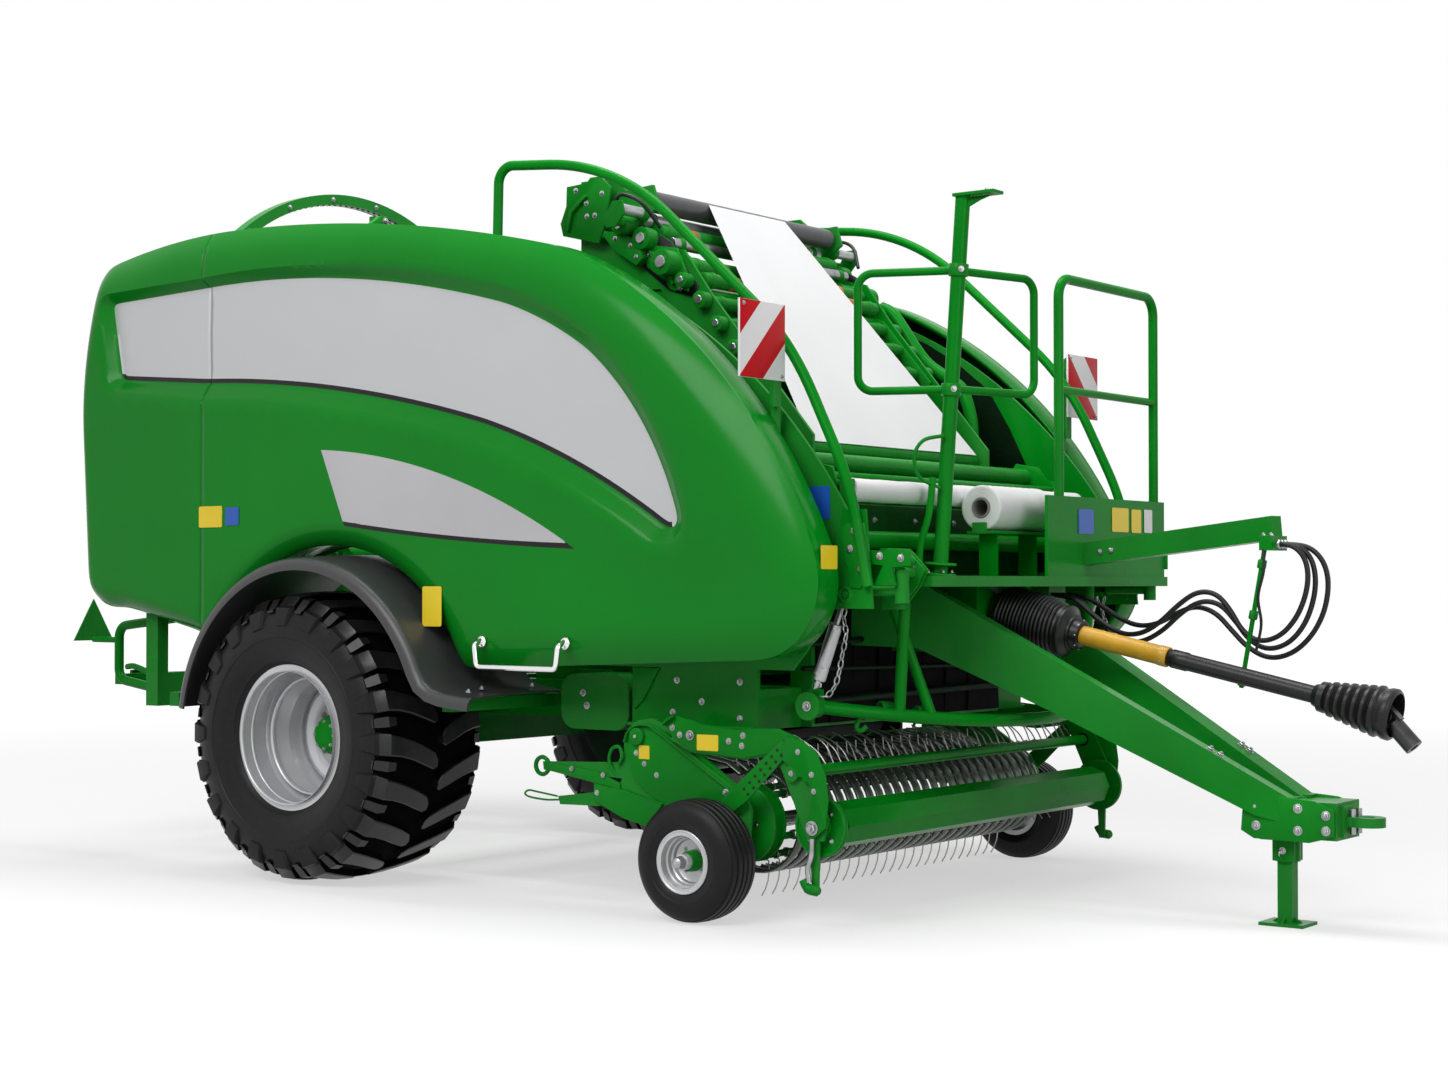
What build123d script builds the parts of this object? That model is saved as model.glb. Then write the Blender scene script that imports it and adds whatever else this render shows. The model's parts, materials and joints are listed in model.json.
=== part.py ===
from build123d import *
from math import radians, tan
import os

# A trailed round baler with a bale wrapper behind it: one machine on two wide wheels.
# Millimetres. +X is forward (drawbar), +Y left, +Z up. While the pieces are made, X is
# measured from the axle; the last step moves them so that the origin is on the ground
# under the middle of the machine's length.

# ---- wheels and axle ----
TYRE_R = 611.5
TYRE_WIDTH = 650.0
TRACK = 2300.0
BEAD_R = 286.0
RIM_WIDTH = 520.0
RIM_FLANGE_R = 308.0
DISC_OUTSET = TRACK / 2 - 150.0
HUB_R = 85.0
STUB_R = 45.0
RUNNING = 0.05
SEAT_GAP = 0.3
AXLE_SECTION = 150.0

# ---- chassis ----
RAIL_IN = 640.0
RAIL_OUT = 720.0
RAIL_BOTTOM = 700.0
RAIL_TOP = 850.0
RAIL_REAR = -1150.0
BULKHEAD_X = 2050.0
BULKHEAD_FRONT = 2150.0
FLOOR_Z = 1240.0

# ---- bodywork ----
SEAM_X = -655.0
SEAM_GAP = 6.0
WALL_Y = 1040.0
WALL_THICK = 15.0
LIP_Y = 1130.0
CREST_Y = 1270.0
FACE_Y = 1340.0
SKIN = 30.0
RECESS_DEPTH = 45.0
DOOR_HINGE_Y = 1050.0
DOOR_HINGE_Z = 2792.0
HINGE_PIN_R = 12.0
# Where each door hinge stands, and how high the body's crest is there.
DOOR_HINGES = ((-450.0, 2788.0), (150.0, 2756.0))
FENDER_X = 100.0
FENDER_R = 765.0
FENDER_THICK = 8.0
FENDER_IN = 850.0
FENDER_OUT = 1490.0

# ---- bale chamber and wrapper ----
CHAMBER_X = 1050.0
CHAMBER_Z = 1700.0
CHAMBER_HALF = 655.0
CHAMBER_PLATE = 12.0
CHAMBER_PLATE_R = 830.0
ROLLER_RING_R = 730.0
ROLLER_R = 110.0
ROLLER_COUNT = 16
ROLLER_WALL = 8.0
RING_X = -1110.0
RING_Z = 2020.0
RING_R = 1150.0
RING_SECTION = 50.0
DISPENSER_R = RING_R - 175.0
FILM_R = 105.0
FILM_LENGTH = 750.0
TABLE_Y = 440.0
TABLE_ROLLER_R = 75.0
TABLE_SPREAD = 420.0
TABLE_POST = (-715.0, -635.0)

# ---- drawbar and hitch ----
DRAW_TIP_X = 3850.0
DRAW_TIP_Y = 62.0
BEAM_THICK = 90.0
TIP_REAR = 3680.0
TIP_FRONT = 4000.0
TIP_BOTTOM = 330.0
TIP_TOP = 465.0
TIP_HALF = 110.0
EYE_X = 4075.0
EYE_Z = 395.0
EYE_R = 25.0
EYE_OUTER_R = 62.0
EYE_THICK = 35.0
JACK_X = 3770.0
JACK_LEG = 56.0
JACK_CLEARANCE = 0.5
JACK_SLEEVE_R = 47.0
JACK_SLEEVE_LOW = 235.0
JACK_PLATE = 75.0
JACK_FOOT = 12.0
JACK_FOOT_LENGTH = 170.0
JACK_FOOT_WIDTH = 140.0
JACK_TOP = 440.0

# ---- front guard bar and its springs ----
GUARD_END = (2350.0, -1010.0, 800.0)
GUARD_MIDDLE = (2750.0, 0.0, 720.0)
GUARD_BAR_R = 25.0
SPRING_Y = -1000.0
SPRING_LOW = 862.0
SPRING_TOP = 1195.0
SPRING_EYE_X = 2490.0
SPRING_ROD_R = 9.0
SPRING_COIL_R = 24.0

# ---- power take-off ----
PTO_PLANE = Plane(origin=(2750, 0, 1090), x_dir=(1, 0, -0.217), z_dir=(0.217, 0, 1))
PTO_SHAFT_R = 20.0
PTO_BORE_R = 17.5

# ---- pickup ----
PICKUP_PIVOT = (1610.0, 665.0)
REEL_X = 2045.0
REEL_Z = 350.0
TINE_R = 295.0
BAND_R = 195.0
BAND_WIDTH = 45.0
BAND_PITCH = 70.0
BAND_COUNT = 27
SIDE_PLATE_Y = 1090.0
SIDE_PLATE = 15.0
GUARD_PIVOT = (1880.0, 680.0)
GUARD_PLATE_Y = 1118.0
GUARD_PLATE = 12.0
CROP_X = 2443.0
CROP_Z = 367.0
CROP_R = 85.0
GAUGE_X = 1985.0
GAUGE_Y = 1236.0
GAUGE_R = 228.5
GAUGE_WIDTH = 200.0


def block(x_range, y_range, z_range, mode=Mode.ADD):
    """A box between three pairs of limits, added to the part being built."""
    middle = [(low + high) / 2 for low, high in (x_range, y_range, z_range)]
    size = [high - low for low, high in (x_range, y_range, z_range)]
    with Locations(Vector(*middle)):
        Box(*size, mode=mode)


def bar(start, end, radius, mode=Mode.ADD):
    """A round bar between two points."""
    line = Vector(*end) - Vector(*start)
    with BuildSketch(Plane(origin=start, z_dir=line)) as section:
        Circle(radius)
    extrude(section.sketch, amount=line.length, mode=mode)


def pipe(points, radii, radius, mode=Mode.ADD):
    """A bent round tube along straight runs joined by arcs."""
    with BuildLine() as path:
        FilletPolyline(*points, radius=radii)
    with BuildSketch(Plane(origin=path.line @ 0, z_dir=path.line % 0)) as section:
        Circle(radius)
    sweep(section.sketch, path=path.line, mode=mode)


def side_plate(points, outer_y, thick, mode=Mode.ADD):
    """A flat plate on the right side: its (x, z) corners, the |y| of its inner face, its thickness."""
    with BuildSketch(Plane.XZ.offset(outer_y)) as section:
        with BuildLine():
            Polyline(*points, close=True)
        make_face()
    extrude(section.sketch, amount=thick, mode=mode)


def cross_plate(points, x, thick, mode=Mode.ADD):
    """A flat plate across the machine: its (y, z) corners, the x of its rear face, its thickness."""
    with BuildSketch(Plane.YZ.offset(x)) as section:
        with BuildLine():
            Polyline(*points, close=True)
        make_face()
    extrude(section.sketch, amount=thick, mode=mode)


def cross_bar(x, z, y_range, radius, mode=Mode.ADD):
    """A round bar across the machine."""
    low, high = y_range
    bar((x, low, z), (x, high, z), radius, mode)


def turned(points, centre, mode=Mode.ADD):
    """A body of revolution about a line across the machine, from (y, radius) corners."""
    x, z = centre
    with BuildSketch(Plane(origin=(x, 0, z), x_dir=(0, 1, 0), z_dir=(1, 0, 0))) as section:
        with BuildLine():
            Polyline(*points, close=True)
        make_face()
    revolve(section.sketch, axis=Axis((x, 0, z), (0, 1, 0)), mode=mode)


def outline(rows, depth, inset):
    """A closed outline in the side view, moved along its rows' normals by inset(row)."""
    corners = []
    for row in rows:
        shift = inset(row)
        corners.append((row[0] + shift * row[2], row[1] + shift * row[3], row[5]))
    corners.append(corners[0])
    with BuildSketch(Plane.XZ.offset(depth)) as sketch:
        with BuildLine():
            last = corners[0][:2]
            middle = None
            for x, z, role in corners[1:]:
                if role == "via":
                    middle = (x, z)
                elif middle:
                    ThreePointArc(last, middle, (x, z))
                    last = (x, z)
                    middle = None
                else:
                    Line(last, (x, z))
                    last = (x, z)
        make_face()
    return sketch.sketch


# ---- wheels ----
WHEEL_MIDDLE = -TRACK / 2

with BuildPart() as right_tyre:
    with BuildSketch(Plane(origin=(0, WHEEL_MIDDLE, TYRE_R), x_dir=(0, 1, 0), z_dir=(1, 0, 0))):
        with BuildLine():
            half = TYRE_WIDTH / 2
            bead = RIM_WIDTH / 2 + 1.7
            ThreePointArc((-half + 60, TYRE_R - 26), (0, TYRE_R), (half - 60, TYRE_R - 26))
            ThreePointArc((half - 60, TYRE_R - 26), (half - 18, TYRE_R - 60), (half, TYRE_R - 130))
            ThreePointArc((half, TYRE_R - 130), (half - 14, TYRE_R - 240), (bead, BEAD_R + 22))
            Line((bead, BEAD_R + 22), (bead, BEAD_R))
            Line((bead, BEAD_R), (bead - 40, BEAD_R))
            Line((bead - 40, BEAD_R), (half - 42, TYRE_R - 140))
            ThreePointArc((half - 42, TYRE_R - 140), (0, TYRE_R - 45), (-half + 42, TYRE_R - 140))
            Line((-half + 42, TYRE_R - 140), (-bead + 40, BEAD_R))
            Line((-bead + 40, BEAD_R), (-bead, BEAD_R))
            Line((-bead, BEAD_R), (-bead, BEAD_R + 22))
            ThreePointArc((-bead, BEAD_R + 22), (-half + 14, TYRE_R - 240), (-half, TYRE_R - 130))
            ThreePointArc((-half, TYRE_R - 130), (-half + 18, TYRE_R - 60), (-half + 60, TYRE_R - 26))
        make_face()
    revolve(axis=Axis((0, 0, TYRE_R), (0, 1, 0)))

with BuildPart() as right_rim:
    flange = RIM_WIDTH / 2 + 2
    seat = BEAD_R - SEAT_GAP
    barrel = [
        (-flange - 8, RIM_FLANGE_R),
        (-flange, RIM_FLANGE_R),
        (-flange, seat),
        (-flange + 60, seat),
        (-flange + 90, seat - 45),
        (60, seat - 45),
        (150, seat),
        (flange, seat),
        (flange, RIM_FLANGE_R),
        (flange + 8, RIM_FLANGE_R),
        (flange + 8, seat - 9),
        (147, seat - 9),
        (57, seat - 54),
        (-flange + 94, seat - 54),
        (-flange + 64, seat - 9),
        (-flange - 8, seat - 9),
    ]
    turned([(WHEEL_MIDDLE - y, r) for y, r in barrel], (0, TYRE_R))
    disc = [(0, HUB_R + 5), (14, HUB_R + 5), (14, 165), (30, seat - 50), (16, seat - 50), (0, 165)]
    turned([(-DISC_OUTSET + 7 - y, r) for y, r in disc], (0, TYRE_R))

with BuildPart() as right_hub:
    face = DISC_OUTSET + 75
    turned([(-face, 0), (-face - 12, 0), (-face - 12, HUB_R - 20), (-face, HUB_R)], (0, TYRE_R))
    turned([(-face, STUB_R + RUNNING), (-face, HUB_R), (-860, HUB_R), (-860, STUB_R + RUNNING)], (0, TYRE_R))
    back = DISC_OUTSET - 7
    turned([(-back, HUB_R), (-back, 135), (-back + 20, 135), (-back + 20, HUB_R)], (0, TYRE_R))

with BuildPart() as axle_beam:
    half = AXLE_SECTION / 2
    block((-half, half), (-780, 780), (TYRE_R - half, TYRE_R + half))
    cross_bar(0, TYRE_R, (-DISC_OUTSET - 65, DISC_OUTSET + 65), STUB_R)
    for side in (-1, 1):
        middle = side * (RAIL_IN + RAIL_OUT) / 2
        block((-120, 120), (middle - 40, middle + 40), (TYRE_R + half, RAIL_BOTTOM))

# ---- chassis ----
with BuildPart() as main_frame:
    block((RAIL_REAR, BULKHEAD_X), (-RAIL_OUT, -RAIL_IN), (RAIL_BOTTOM, RAIL_TOP))
    block((RAIL_REAR, RAIL_REAR + 80), (-1225, -RAIL_OUT), (RAIL_BOTTOM, RAIL_TOP))
    block((900, 960), (-1450, -RAIL_OUT), (750, 800))
    block((-717, FENDER_X - FENDER_R + 7.5), (-1450, -RAIL_OUT), (TYRE_R + 110, TYRE_R + 170))
    block((1500, 2100), (-1010, -990), (700, 930))
    block((1500, 2100), (-WALL_Y, -990), (930, 950))
    block((1500, 1560), (-990, -RAIL_OUT), (RAIL_BOTTOM, RAIL_TOP))
    block((BULKHEAD_X, 2100), (-990, -RAIL_OUT), (RAIL_BOTTOM, RAIL_TOP))
    pivot_x, pivot_z = PICKUP_PIVOT
    block((pivot_x - 40, pivot_x + 40), (-1010, -990), (pivot_z - 42, 720))
    cross_bar(pivot_x, pivot_z, (-SIDE_PLATE_Y - 25, -1010), 25)
    mirror(about=Plane.XZ)
    for start, end in ((RAIL_REAR, RAIL_REAR + 80), TABLE_POST, (300, 380)):
        block((start, end), (-RAIL_IN, RAIL_IN), (RAIL_BOTTOM, RAIL_TOP))
    block((BULKHEAD_X, BULKHEAD_FRONT), (-RAIL_OUT, RAIL_OUT), (RAIL_BOTTOM, FLOOR_Z))

with BuildPart() as fenders:
    with BuildSketch(Plane.XZ.offset(FENDER_IN)) as arch:
        with BuildLine():
            outer = CenterArc((FENDER_X, TYRE_R), FENDER_R, 17, 155)
            inner = CenterArc((FENDER_X, TYRE_R), FENDER_R - FENDER_THICK, 17, 155)
            Line(outer @ 0, inner @ 0)
            Line(outer @ 1, inner @ 1)
        make_face()
    extrude(amount=FENDER_OUT - FENDER_IN)
    with BuildSketch(Plane.XZ.offset(FENDER_OUT - FENDER_THICK)):
        with BuildLine():
            lip_out = CenterArc((FENDER_X, TYRE_R), FENDER_R - FENDER_THICK / 2, 17, 155)
            lip_in = CenterArc((FENDER_X, TYRE_R), FENDER_R - 50, 17, 155)
            Line(lip_out @ 0, lip_in @ 0)
            Line(lip_out @ 1, lip_in @ 1)
        make_face()
    extrude(amount=FENDER_THICK)
    foot = [(800, 852), (818, 868), (1070, 830), (1070, 800), (880, 800), (800, 840)]
    side_plate(foot, FENDER_IN, FENDER_OUT - FENDER_IN)
    mirror(about=Plane.XZ)

# ---- bodywork ----
# Corner x, z, the inward normal there, the width of the sloping band, and what the row is.
SIDE_ROWS = [
    (-1480, 1230, 0.77, 0.64, 90, "corner"),
    (-1520, 2000, 1, 0, 70, "corner"),
    (-1500, 2340, 1, -0.06, 75, "via"),
    (-1440, 2590, 0.96, -0.28, 110, "corner"),
    (-1400, 2672, 0.78, -0.62, 150, "via"),
    (-1310, 2708, 0.26, -0.96, 175, "corner"),
    (-960, 2765, 0.14, -0.99, 180, "via"),
    (-600, 2790, 0, -1, 180, "corner"),
    (400, 2733, -0.11, -0.99, 180, "via"),
    (1320, 2565, -0.24, -0.97, 180, "corner"),
    (2030, 2115, -0.69, -0.72, 185, "via"),
    (2545, 1340, -0.96, -0.27, 190, "corner"),
    (2510, 1100, -0.9, 0.44, 190, "via"),
    (2330, 975, -0.3, 0.95, 180, "corner"),
    (842, 912, -0.35, 0.94, 150, "corner"),
    (100, 1412, 0, 1, 20, "via"),
    (-600, 1000, 0.4, 0.92, 60, "corner"),
    (-760, 1050, 0.2, 0.98, 80, "corner"),
    (-1240, 1150, 0.1, 0.99, 90, "corner"),
    (-1420, 1175, 0.5, 0.87, 100, "via"),
]
# The sunk panel's floor: x, z, outward normal, the width of its sloping edge, and what the row is.
RECESS_ROWS = [
    (-1320, 2525, -0.7, 0.7, 30, "corner"),
    (-1250, 2175, -0.7, -0.7, 30, "corner"),
    (-670, 2130, -0.05, -1, 30, "corner"),
    (560, 2015, -0.1, -1, 32, "via"),
    (1890, 1500, -0.45, -0.89, 40, "corner"),
    (1935, 1500, 0.9, -0.44, 40, "via"),
    (1900, 1640, 0.93, 0.36, 42, "corner"),
    (1590, 2070, 0.72, 0.69, 42, "via"),
    (1060, 2360, 0.3, 0.95, 40, "corner"),
    (200, 2522, 0.12, 0.99, 32, "via"),
    (-670, 2550, -0.02, 1, 30, "corner"),
]


def body_side(edge, trim):
    """The shape of a side: full at its lip, sloping in to its flat face."""
    back = FACE_Y - CREST_Y
    with BuildPart() as shape:
        extrude(outline(SIDE_ROWS, LIP_Y, lambda row: edge), amount=CREST_Y - LIP_Y - trim)
        loft(
            [
                outline(SIDE_ROWS, CREST_Y - trim, lambda row: edge),
                outline(SIDE_ROWS, CREST_Y - trim + back, lambda row: row[4] + edge / 2),
            ],
            ruled=True,
        )
    return shape.part


outer_side = body_side(0, 0)
inner_side = body_side(SKIN, SKIN)

with BuildPart() as side:
    add(outer_side)
    add(inner_side, mode=Mode.SUBTRACT)
    backing = outline(RECESS_ROWS, FACE_Y - RECESS_DEPTH - SKIN, lambda row: row[4])
    extrude(backing, amount=RECESS_DEPTH)
    loft(
        [
            outline(RECESS_ROWS, FACE_Y - RECESS_DEPTH, lambda row: 0),
            outline(RECESS_ROWS, FACE_Y, lambda row: row[4]),
        ],
        ruled=True,
        mode=Mode.SUBTRACT,
    )

with BuildPart() as right_door:
    add(side.part)
    split(bisect_by=Plane.YZ.offset(SEAM_X + SEAM_GAP / 2), keep=Keep.TOP)
    for x, crest in DOOR_HINGES:
        with BuildSketch(Plane.YZ.offset(x)):
            with BuildLine():
                Polyline(
                    (-DOOR_HINGE_Y + 22, DOOR_HINGE_Z - 22),
                    (-DOOR_HINGE_Y + 22, DOOR_HINGE_Z + 22),
                    (-DOOR_HINGE_Y - 22, DOOR_HINGE_Z + 22),
                    (-LIP_Y - 30, crest - 4),
                    (-LIP_Y - 30, crest - SKIN),
                    (-LIP_Y, crest - SKIN),
                    (-DOOR_HINGE_Y - 22, DOOR_HINGE_Z - 22),
                    close=True,
                )
            make_face()
        extrude(amount=30)
        hinge = (-DOOR_HINGE_Y, DOOR_HINGE_Z)
        bar((x - 50, *hinge), (x + 1, *hinge), HINGE_PIN_R)

with BuildPart() as rear_shells:
    add(side.part)
    split(bisect_by=Plane.YZ.offset(SEAM_X - SEAM_GAP / 2), keep=Keep.BOTTOM)
    post_notch = (RAIL_REAR - 5, RAIL_REAR + 85)
    block(post_notch, (-1232, -LIP_Y + 5), (1090, 1200), Mode.SUBTRACT)
    mirror(about=Plane.XZ)

with BuildPart() as right_handle:
    pipe(
        [
            (1000, -FACE_Y + 30, 1040),
            (1000, -FACE_Y - 36, 1010),
            (1012, -FACE_Y - 36, 925),
            (1418, -FACE_Y - 36, 925),
            (1430, -FACE_Y - 36, 1010),
            (1430, -FACE_Y + 30, 1040),
        ],
        20,
        11,
    )
    add(right_door.part, mode=Mode.SUBTRACT)
    add(inner_side, mode=Mode.SUBTRACT)

# ---- bale chamber ----
with BuildPart() as chamber_sides:
    with BuildSketch(Plane.XZ.offset(CHAMBER_HALF)):
        with Locations((CHAMBER_X, CHAMBER_Z)):
            Circle(CHAMBER_PLATE_R)
        with Locations((CHAMBER_X, (RAIL_TOP + CHAMBER_Z) / 2)):
            Rectangle(700, CHAMBER_Z - RAIL_TOP)
    extrude(amount=CHAMBER_PLATE)
    for angle in (-15, 120, 200):
        spot = Vector(CHAMBER_PLATE_R - 60, 0).rotate(Axis.Z, angle)
        stay_x = CHAMBER_X + spot.X
        cross_bar(stay_x, CHAMBER_Z + spot.Y, (-WALL_Y, -CHAMBER_HALF - CHAMBER_PLATE), 30)
    mirror(about=Plane.XZ)

with BuildPart() as chamber_rollers:
    with BuildSketch(Plane.XZ.offset(-CHAMBER_HALF)):
        with Locations((CHAMBER_X, CHAMBER_Z)):
            with PolarLocations(ROLLER_RING_R, ROLLER_COUNT, 180 / ROLLER_COUNT):
                Circle(ROLLER_R)
                Circle(ROLLER_R - ROLLER_WALL, mode=Mode.SUBTRACT)
    extrude(amount=2 * CHAMBER_HALF)

WALL_ROWS = [
    (-640, 1000, 0, 0, 0, "corner"),
    (-640, 2720, 0, 0, 0, "corner"),
    (400, 2660, 0, 0, 0, "via"),
    (1320, 2500, 0, 0, 0, "corner"),
    (2040, 2090, 0, 0, 0, "via"),
    (2600, 1400, 0, 0, 0, "corner"),
    (2610, 1180, 0, 0, 0, "corner"),
    (2440, 1150, 0, 0, 0, "corner"),
    (2360, 1010, 0, 0, 0, "corner"),
    (2290, 930, 0, 0, 0, "corner"),
    (842, 930, 0, 0, 0, "corner"),
    (100, 1412, 0, 0, 0, "via"),
]

with BuildPart() as inner_walls:
    extrude(outline(WALL_ROWS, WALL_Y, lambda row: 0), amount=WALL_THICK)
    for x, crest in DOOR_HINGES:
        block((x - 40, x - 15), (-WALL_Y - WALL_THICK, -WALL_Y), (crest - 160, DOOR_HINGE_Z))
        lug_z = (DOOR_HINGE_Z - 30, DOOR_HINGE_Z + 24)
        block((x - 40, x - 15), (-DOOR_HINGE_Y - 24, -DOOR_HINGE_Y + 24), lug_z)
        hinge = (-DOOR_HINGE_Y, DOOR_HINGE_Z)
        bar((x - 45, *hinge), (x - 10, *hinge), HINGE_PIN_R + RUNNING, Mode.SUBTRACT)
    block((SPRING_EYE_X - 20, SPRING_EYE_X + 20), (-WALL_Y, -985), (SPRING_TOP, SPRING_TOP + 20))
    mirror(about=Plane.XZ)
    for x, z in ((-580, 2600), (-580, 1150), (2300, 1420)):
        cross_bar(x, z, (-WALL_Y - 5, WALL_Y + 5), 35)

# ---- wrapping ring and table ----
with BuildPart() as wrap_ring:
    with BuildSketch(Plane.YZ.offset(RING_X - 30)):
        with Locations((0, RING_Z)):
            Circle(RING_R)
            Circle(RING_R - RING_SECTION, mode=Mode.SUBTRACT)
    extrude(amount=60)

with BuildPart() as film_dispensers:
    for side_sign in (-1, 1):
        y = side_sign * DISPENSER_R
        for x in (RING_X - FILM_LENGTH / 2 - 12, RING_X + FILM_LENGTH / 2):
            with BuildSketch(Plane.YZ.offset(x)):
                with Locations((y, RING_Z)):
                    Circle(60)
                with Locations((y, RING_Z + 90)):
                    Rectangle(60, 200)
            extrude(amount=12)
        far_end = RING_X + FILM_LENGTH / 2 + 12
        bar((RING_X - FILM_LENGTH / 2 - 12, y, RING_Z + 165), (far_end, y, RING_Z + 165), 22)
        bar((RING_X, y, RING_Z + 165), (RING_X, y * 1.13, RING_Z + 165), 22)
    add(wrap_ring.part, mode=Mode.SUBTRACT)

with BuildPart() as dispenser_film:
    for side_sign in (-1, 1):
        start = RING_X - FILM_LENGTH / 2
        y = side_sign * DISPENSER_R
        bar((start, y, RING_Z), (start + FILM_LENGTH, y, RING_Z), FILM_R)

with BuildPart() as ring_carrier:
    block((RAIL_REAR, RAIL_REAR + 80), (-1225, -1165), (RAIL_TOP, 2560))
    for angle in (155, 205):
        spot = Vector(RING_R + 0.5 + 40, 0).rotate(Axis.Z, angle)
        roller_z = RING_Z + spot.Y
        bar((RING_X - 40, spot.X, roller_z), (RING_X + 40, spot.X, roller_z), 40)
        block((RING_X - 40, RING_X - 30), (-1225, spot.X - 20), (roller_z - 30, roller_z + 30))
        block((RING_X + 30, RING_X + 40), (-1225, spot.X - 20), (roller_z - 30, roller_z + 30))
    for z in (1380, 1930):
        block((RAIL_REAR + 10, RAIL_REAR + 70), (-FACE_Y + SKIN, -1225), (z - 30, z + 30))
    mirror(about=Plane.XZ)

with BuildPart() as wrap_table:
    block(TABLE_POST, (-TABLE_Y - 60, -TABLE_Y), (RAIL_TOP, 1400))
    block((-1620, TABLE_POST[0]), (-TABLE_Y - 60, -TABLE_Y), (1320, 1400))
    mirror(about=Plane.XZ)
    block((-1620, -1570), (-TABLE_Y, TABLE_Y), (1330, 1390))
    block((-690, -640), (-TABLE_Y, TABLE_Y), (1330, 1390))
    for x in (RING_X - TABLE_SPREAD + 30, RING_X + TABLE_SPREAD - 30):
        cross_bar(x, 1370, (-TABLE_Y, TABLE_Y), TABLE_ROLLER_R)

# ---- tail ----
REFLECTOR_X = -1807.0

with BuildPart() as tail_frame:
    pipe(
        [(RAIL_REAR, -1000, 735), (-1620, -1000, 800), (-1620, -1000, 1050), (-1230, -1000, 1090)],
        60,
        22,
    )
    bar((-1620, -1000, 985), (REFLECTOR_X, -1000, 985), 14)
    mirror(about=Plane.XZ)
    add(main_frame.part, mode=Mode.SUBTRACT)
    block((-1650, -1600), (-1000, 1000), (775, 825))

with BuildPart() as reflectors:
    for side_sign in (-1, 1):
        middle = side_sign * 1000
        triangle = [(middle - 114, 980), (middle + 114, 980), (middle, 1177)]
        cross_plate(triangle, REFLECTOR_X - 8, 8)

# ---- guard hoops and marker boards ----
HOOP_Y = WALL_Y + WALL_THICK + 25
BOARD = 282.0
BOARD_X = 2288.0
BOARD_Y = 1243.0
BOARD_Z = 2135.0

with BuildPart() as hoops:
    pipe(
        [
            (850, -HOOP_Y, 2600),
            (858, -HOOP_Y, 2950),
            (1480, -HOOP_Y, 2895),
            (2300, -HOOP_Y, 2150),
            (2560, -HOOP_Y, 1620),
            (2640, -HOOP_Y, 1240),
        ],
        [70, 1050, 1200, 1200],
        20,
    )
    side_plate([(2430, 1160), (2650, 1160), (2620, 1520), (2520, 1520)], WALL_Y + WALL_THICK, 10)
    block((835, 865), (-HOOP_Y, -WALL_Y - WALL_THICK), (2560, 2620))
    mirror(about=Plane.XZ)
    for side_sign in (-1, 1):
        low = min(side_sign * 1112, side_sign * 1152)
        block((BOARD_X - 18, BOARD_X - 6), (low, low + 40), (1900, 2260))
        foot = sorted((side_sign * (WALL_Y + WALL_THICK), side_sign * 1122))
        block((BOARD_X - 48, BOARD_X - 18), foot, (1700, 1740))
        block((BOARD_X - 48, BOARD_X - 18), sorted((side_sign * 1098, side_sign * 1122)), (1700, 1940))

with BuildPart() as marker_boards:
    for side_sign in (-1, 1):
        with Locations((BOARD_X, side_sign * BOARD_Y, BOARD_Z)):
            Box(12, BOARD, BOARD)

# ---- film across the front ----
WEB_TOP = (1300.0, 2820.0)
WEB_BOTTOM = (2050.0, 1780.0)
WEB_ROLLER_R = 45.0
FRAME_Y = CHAMBER_HALF + CHAMBER_PLATE

with BuildPart() as film_frame:
    arm = [
        (960, 2930),
        (1140, 2930),
        (1200, 2870),
        (1340, 2880),
        (1370, 2790),
        (1290, 2740),
        (1330, 2640),
        (1500, 2600),
        (1640, 2410),
        (2130, 1830),
        (2130, 1720),
        (1990, 1700),
        (1830, 1900),
        (1380, 2450),
        (960, 2450),
    ]
    side_plate(arm, FRAME_Y, 15)
    mirror(about=Plane.XZ)
    for x, z, radius in ((1120, 2760, 30), (1430, 2560, 22), (1560, 2420, 22), (1010, 2880, 18)):
        cross_bar(x, z, (-FRAME_Y, FRAME_Y), radius)

with BuildPart() as web_rollers:
    for x, z in (WEB_TOP, WEB_BOTTOM):
        cross_bar(x, z, (-FRAME_Y, FRAME_Y), WEB_ROLLER_R)

with BuildPart() as film_web:
    web_half = CHAMBER_HALF - 15
    run = Vector(*WEB_BOTTOM) - Vector(*WEB_TOP)
    along = Vector(run.X, 0, run.Y).normalized()
    lift = along.cross(Vector(0, 1, 0))
    start = Vector(WEB_TOP[0], 0, WEB_TOP[1]) + lift * (WEB_ROLLER_R + SEAT_GAP)
    with BuildSketch(Plane(origin=start, x_dir=along, z_dir=lift)):
        with BuildLine():
            Polyline((0, -300), (0, 260), (run.length, web_half), (run.length, -web_half), close=True)
        make_face()
    extrude(amount=3)

# ---- platform, mast and rails ----
PLATFORM_TOP = FLOOR_Z + 40.0
CRADLE = 12.0
WIDE_ROLL_X = 2430.0
WIDE_ROLL_Y = (-890.0, 900.0)
WIDE_ROLL_Z = FLOOR_Z + 360.0
WIDE_ROLL_R = 45.0
SPARE_ROLL_X = 2565.0
SPARE_ROLL_Y = (-150.0, 300.0)
SPARE_ROLL_Z = FLOOR_Z + 310.0
SPARE_ROLL_R = 90.0

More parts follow.
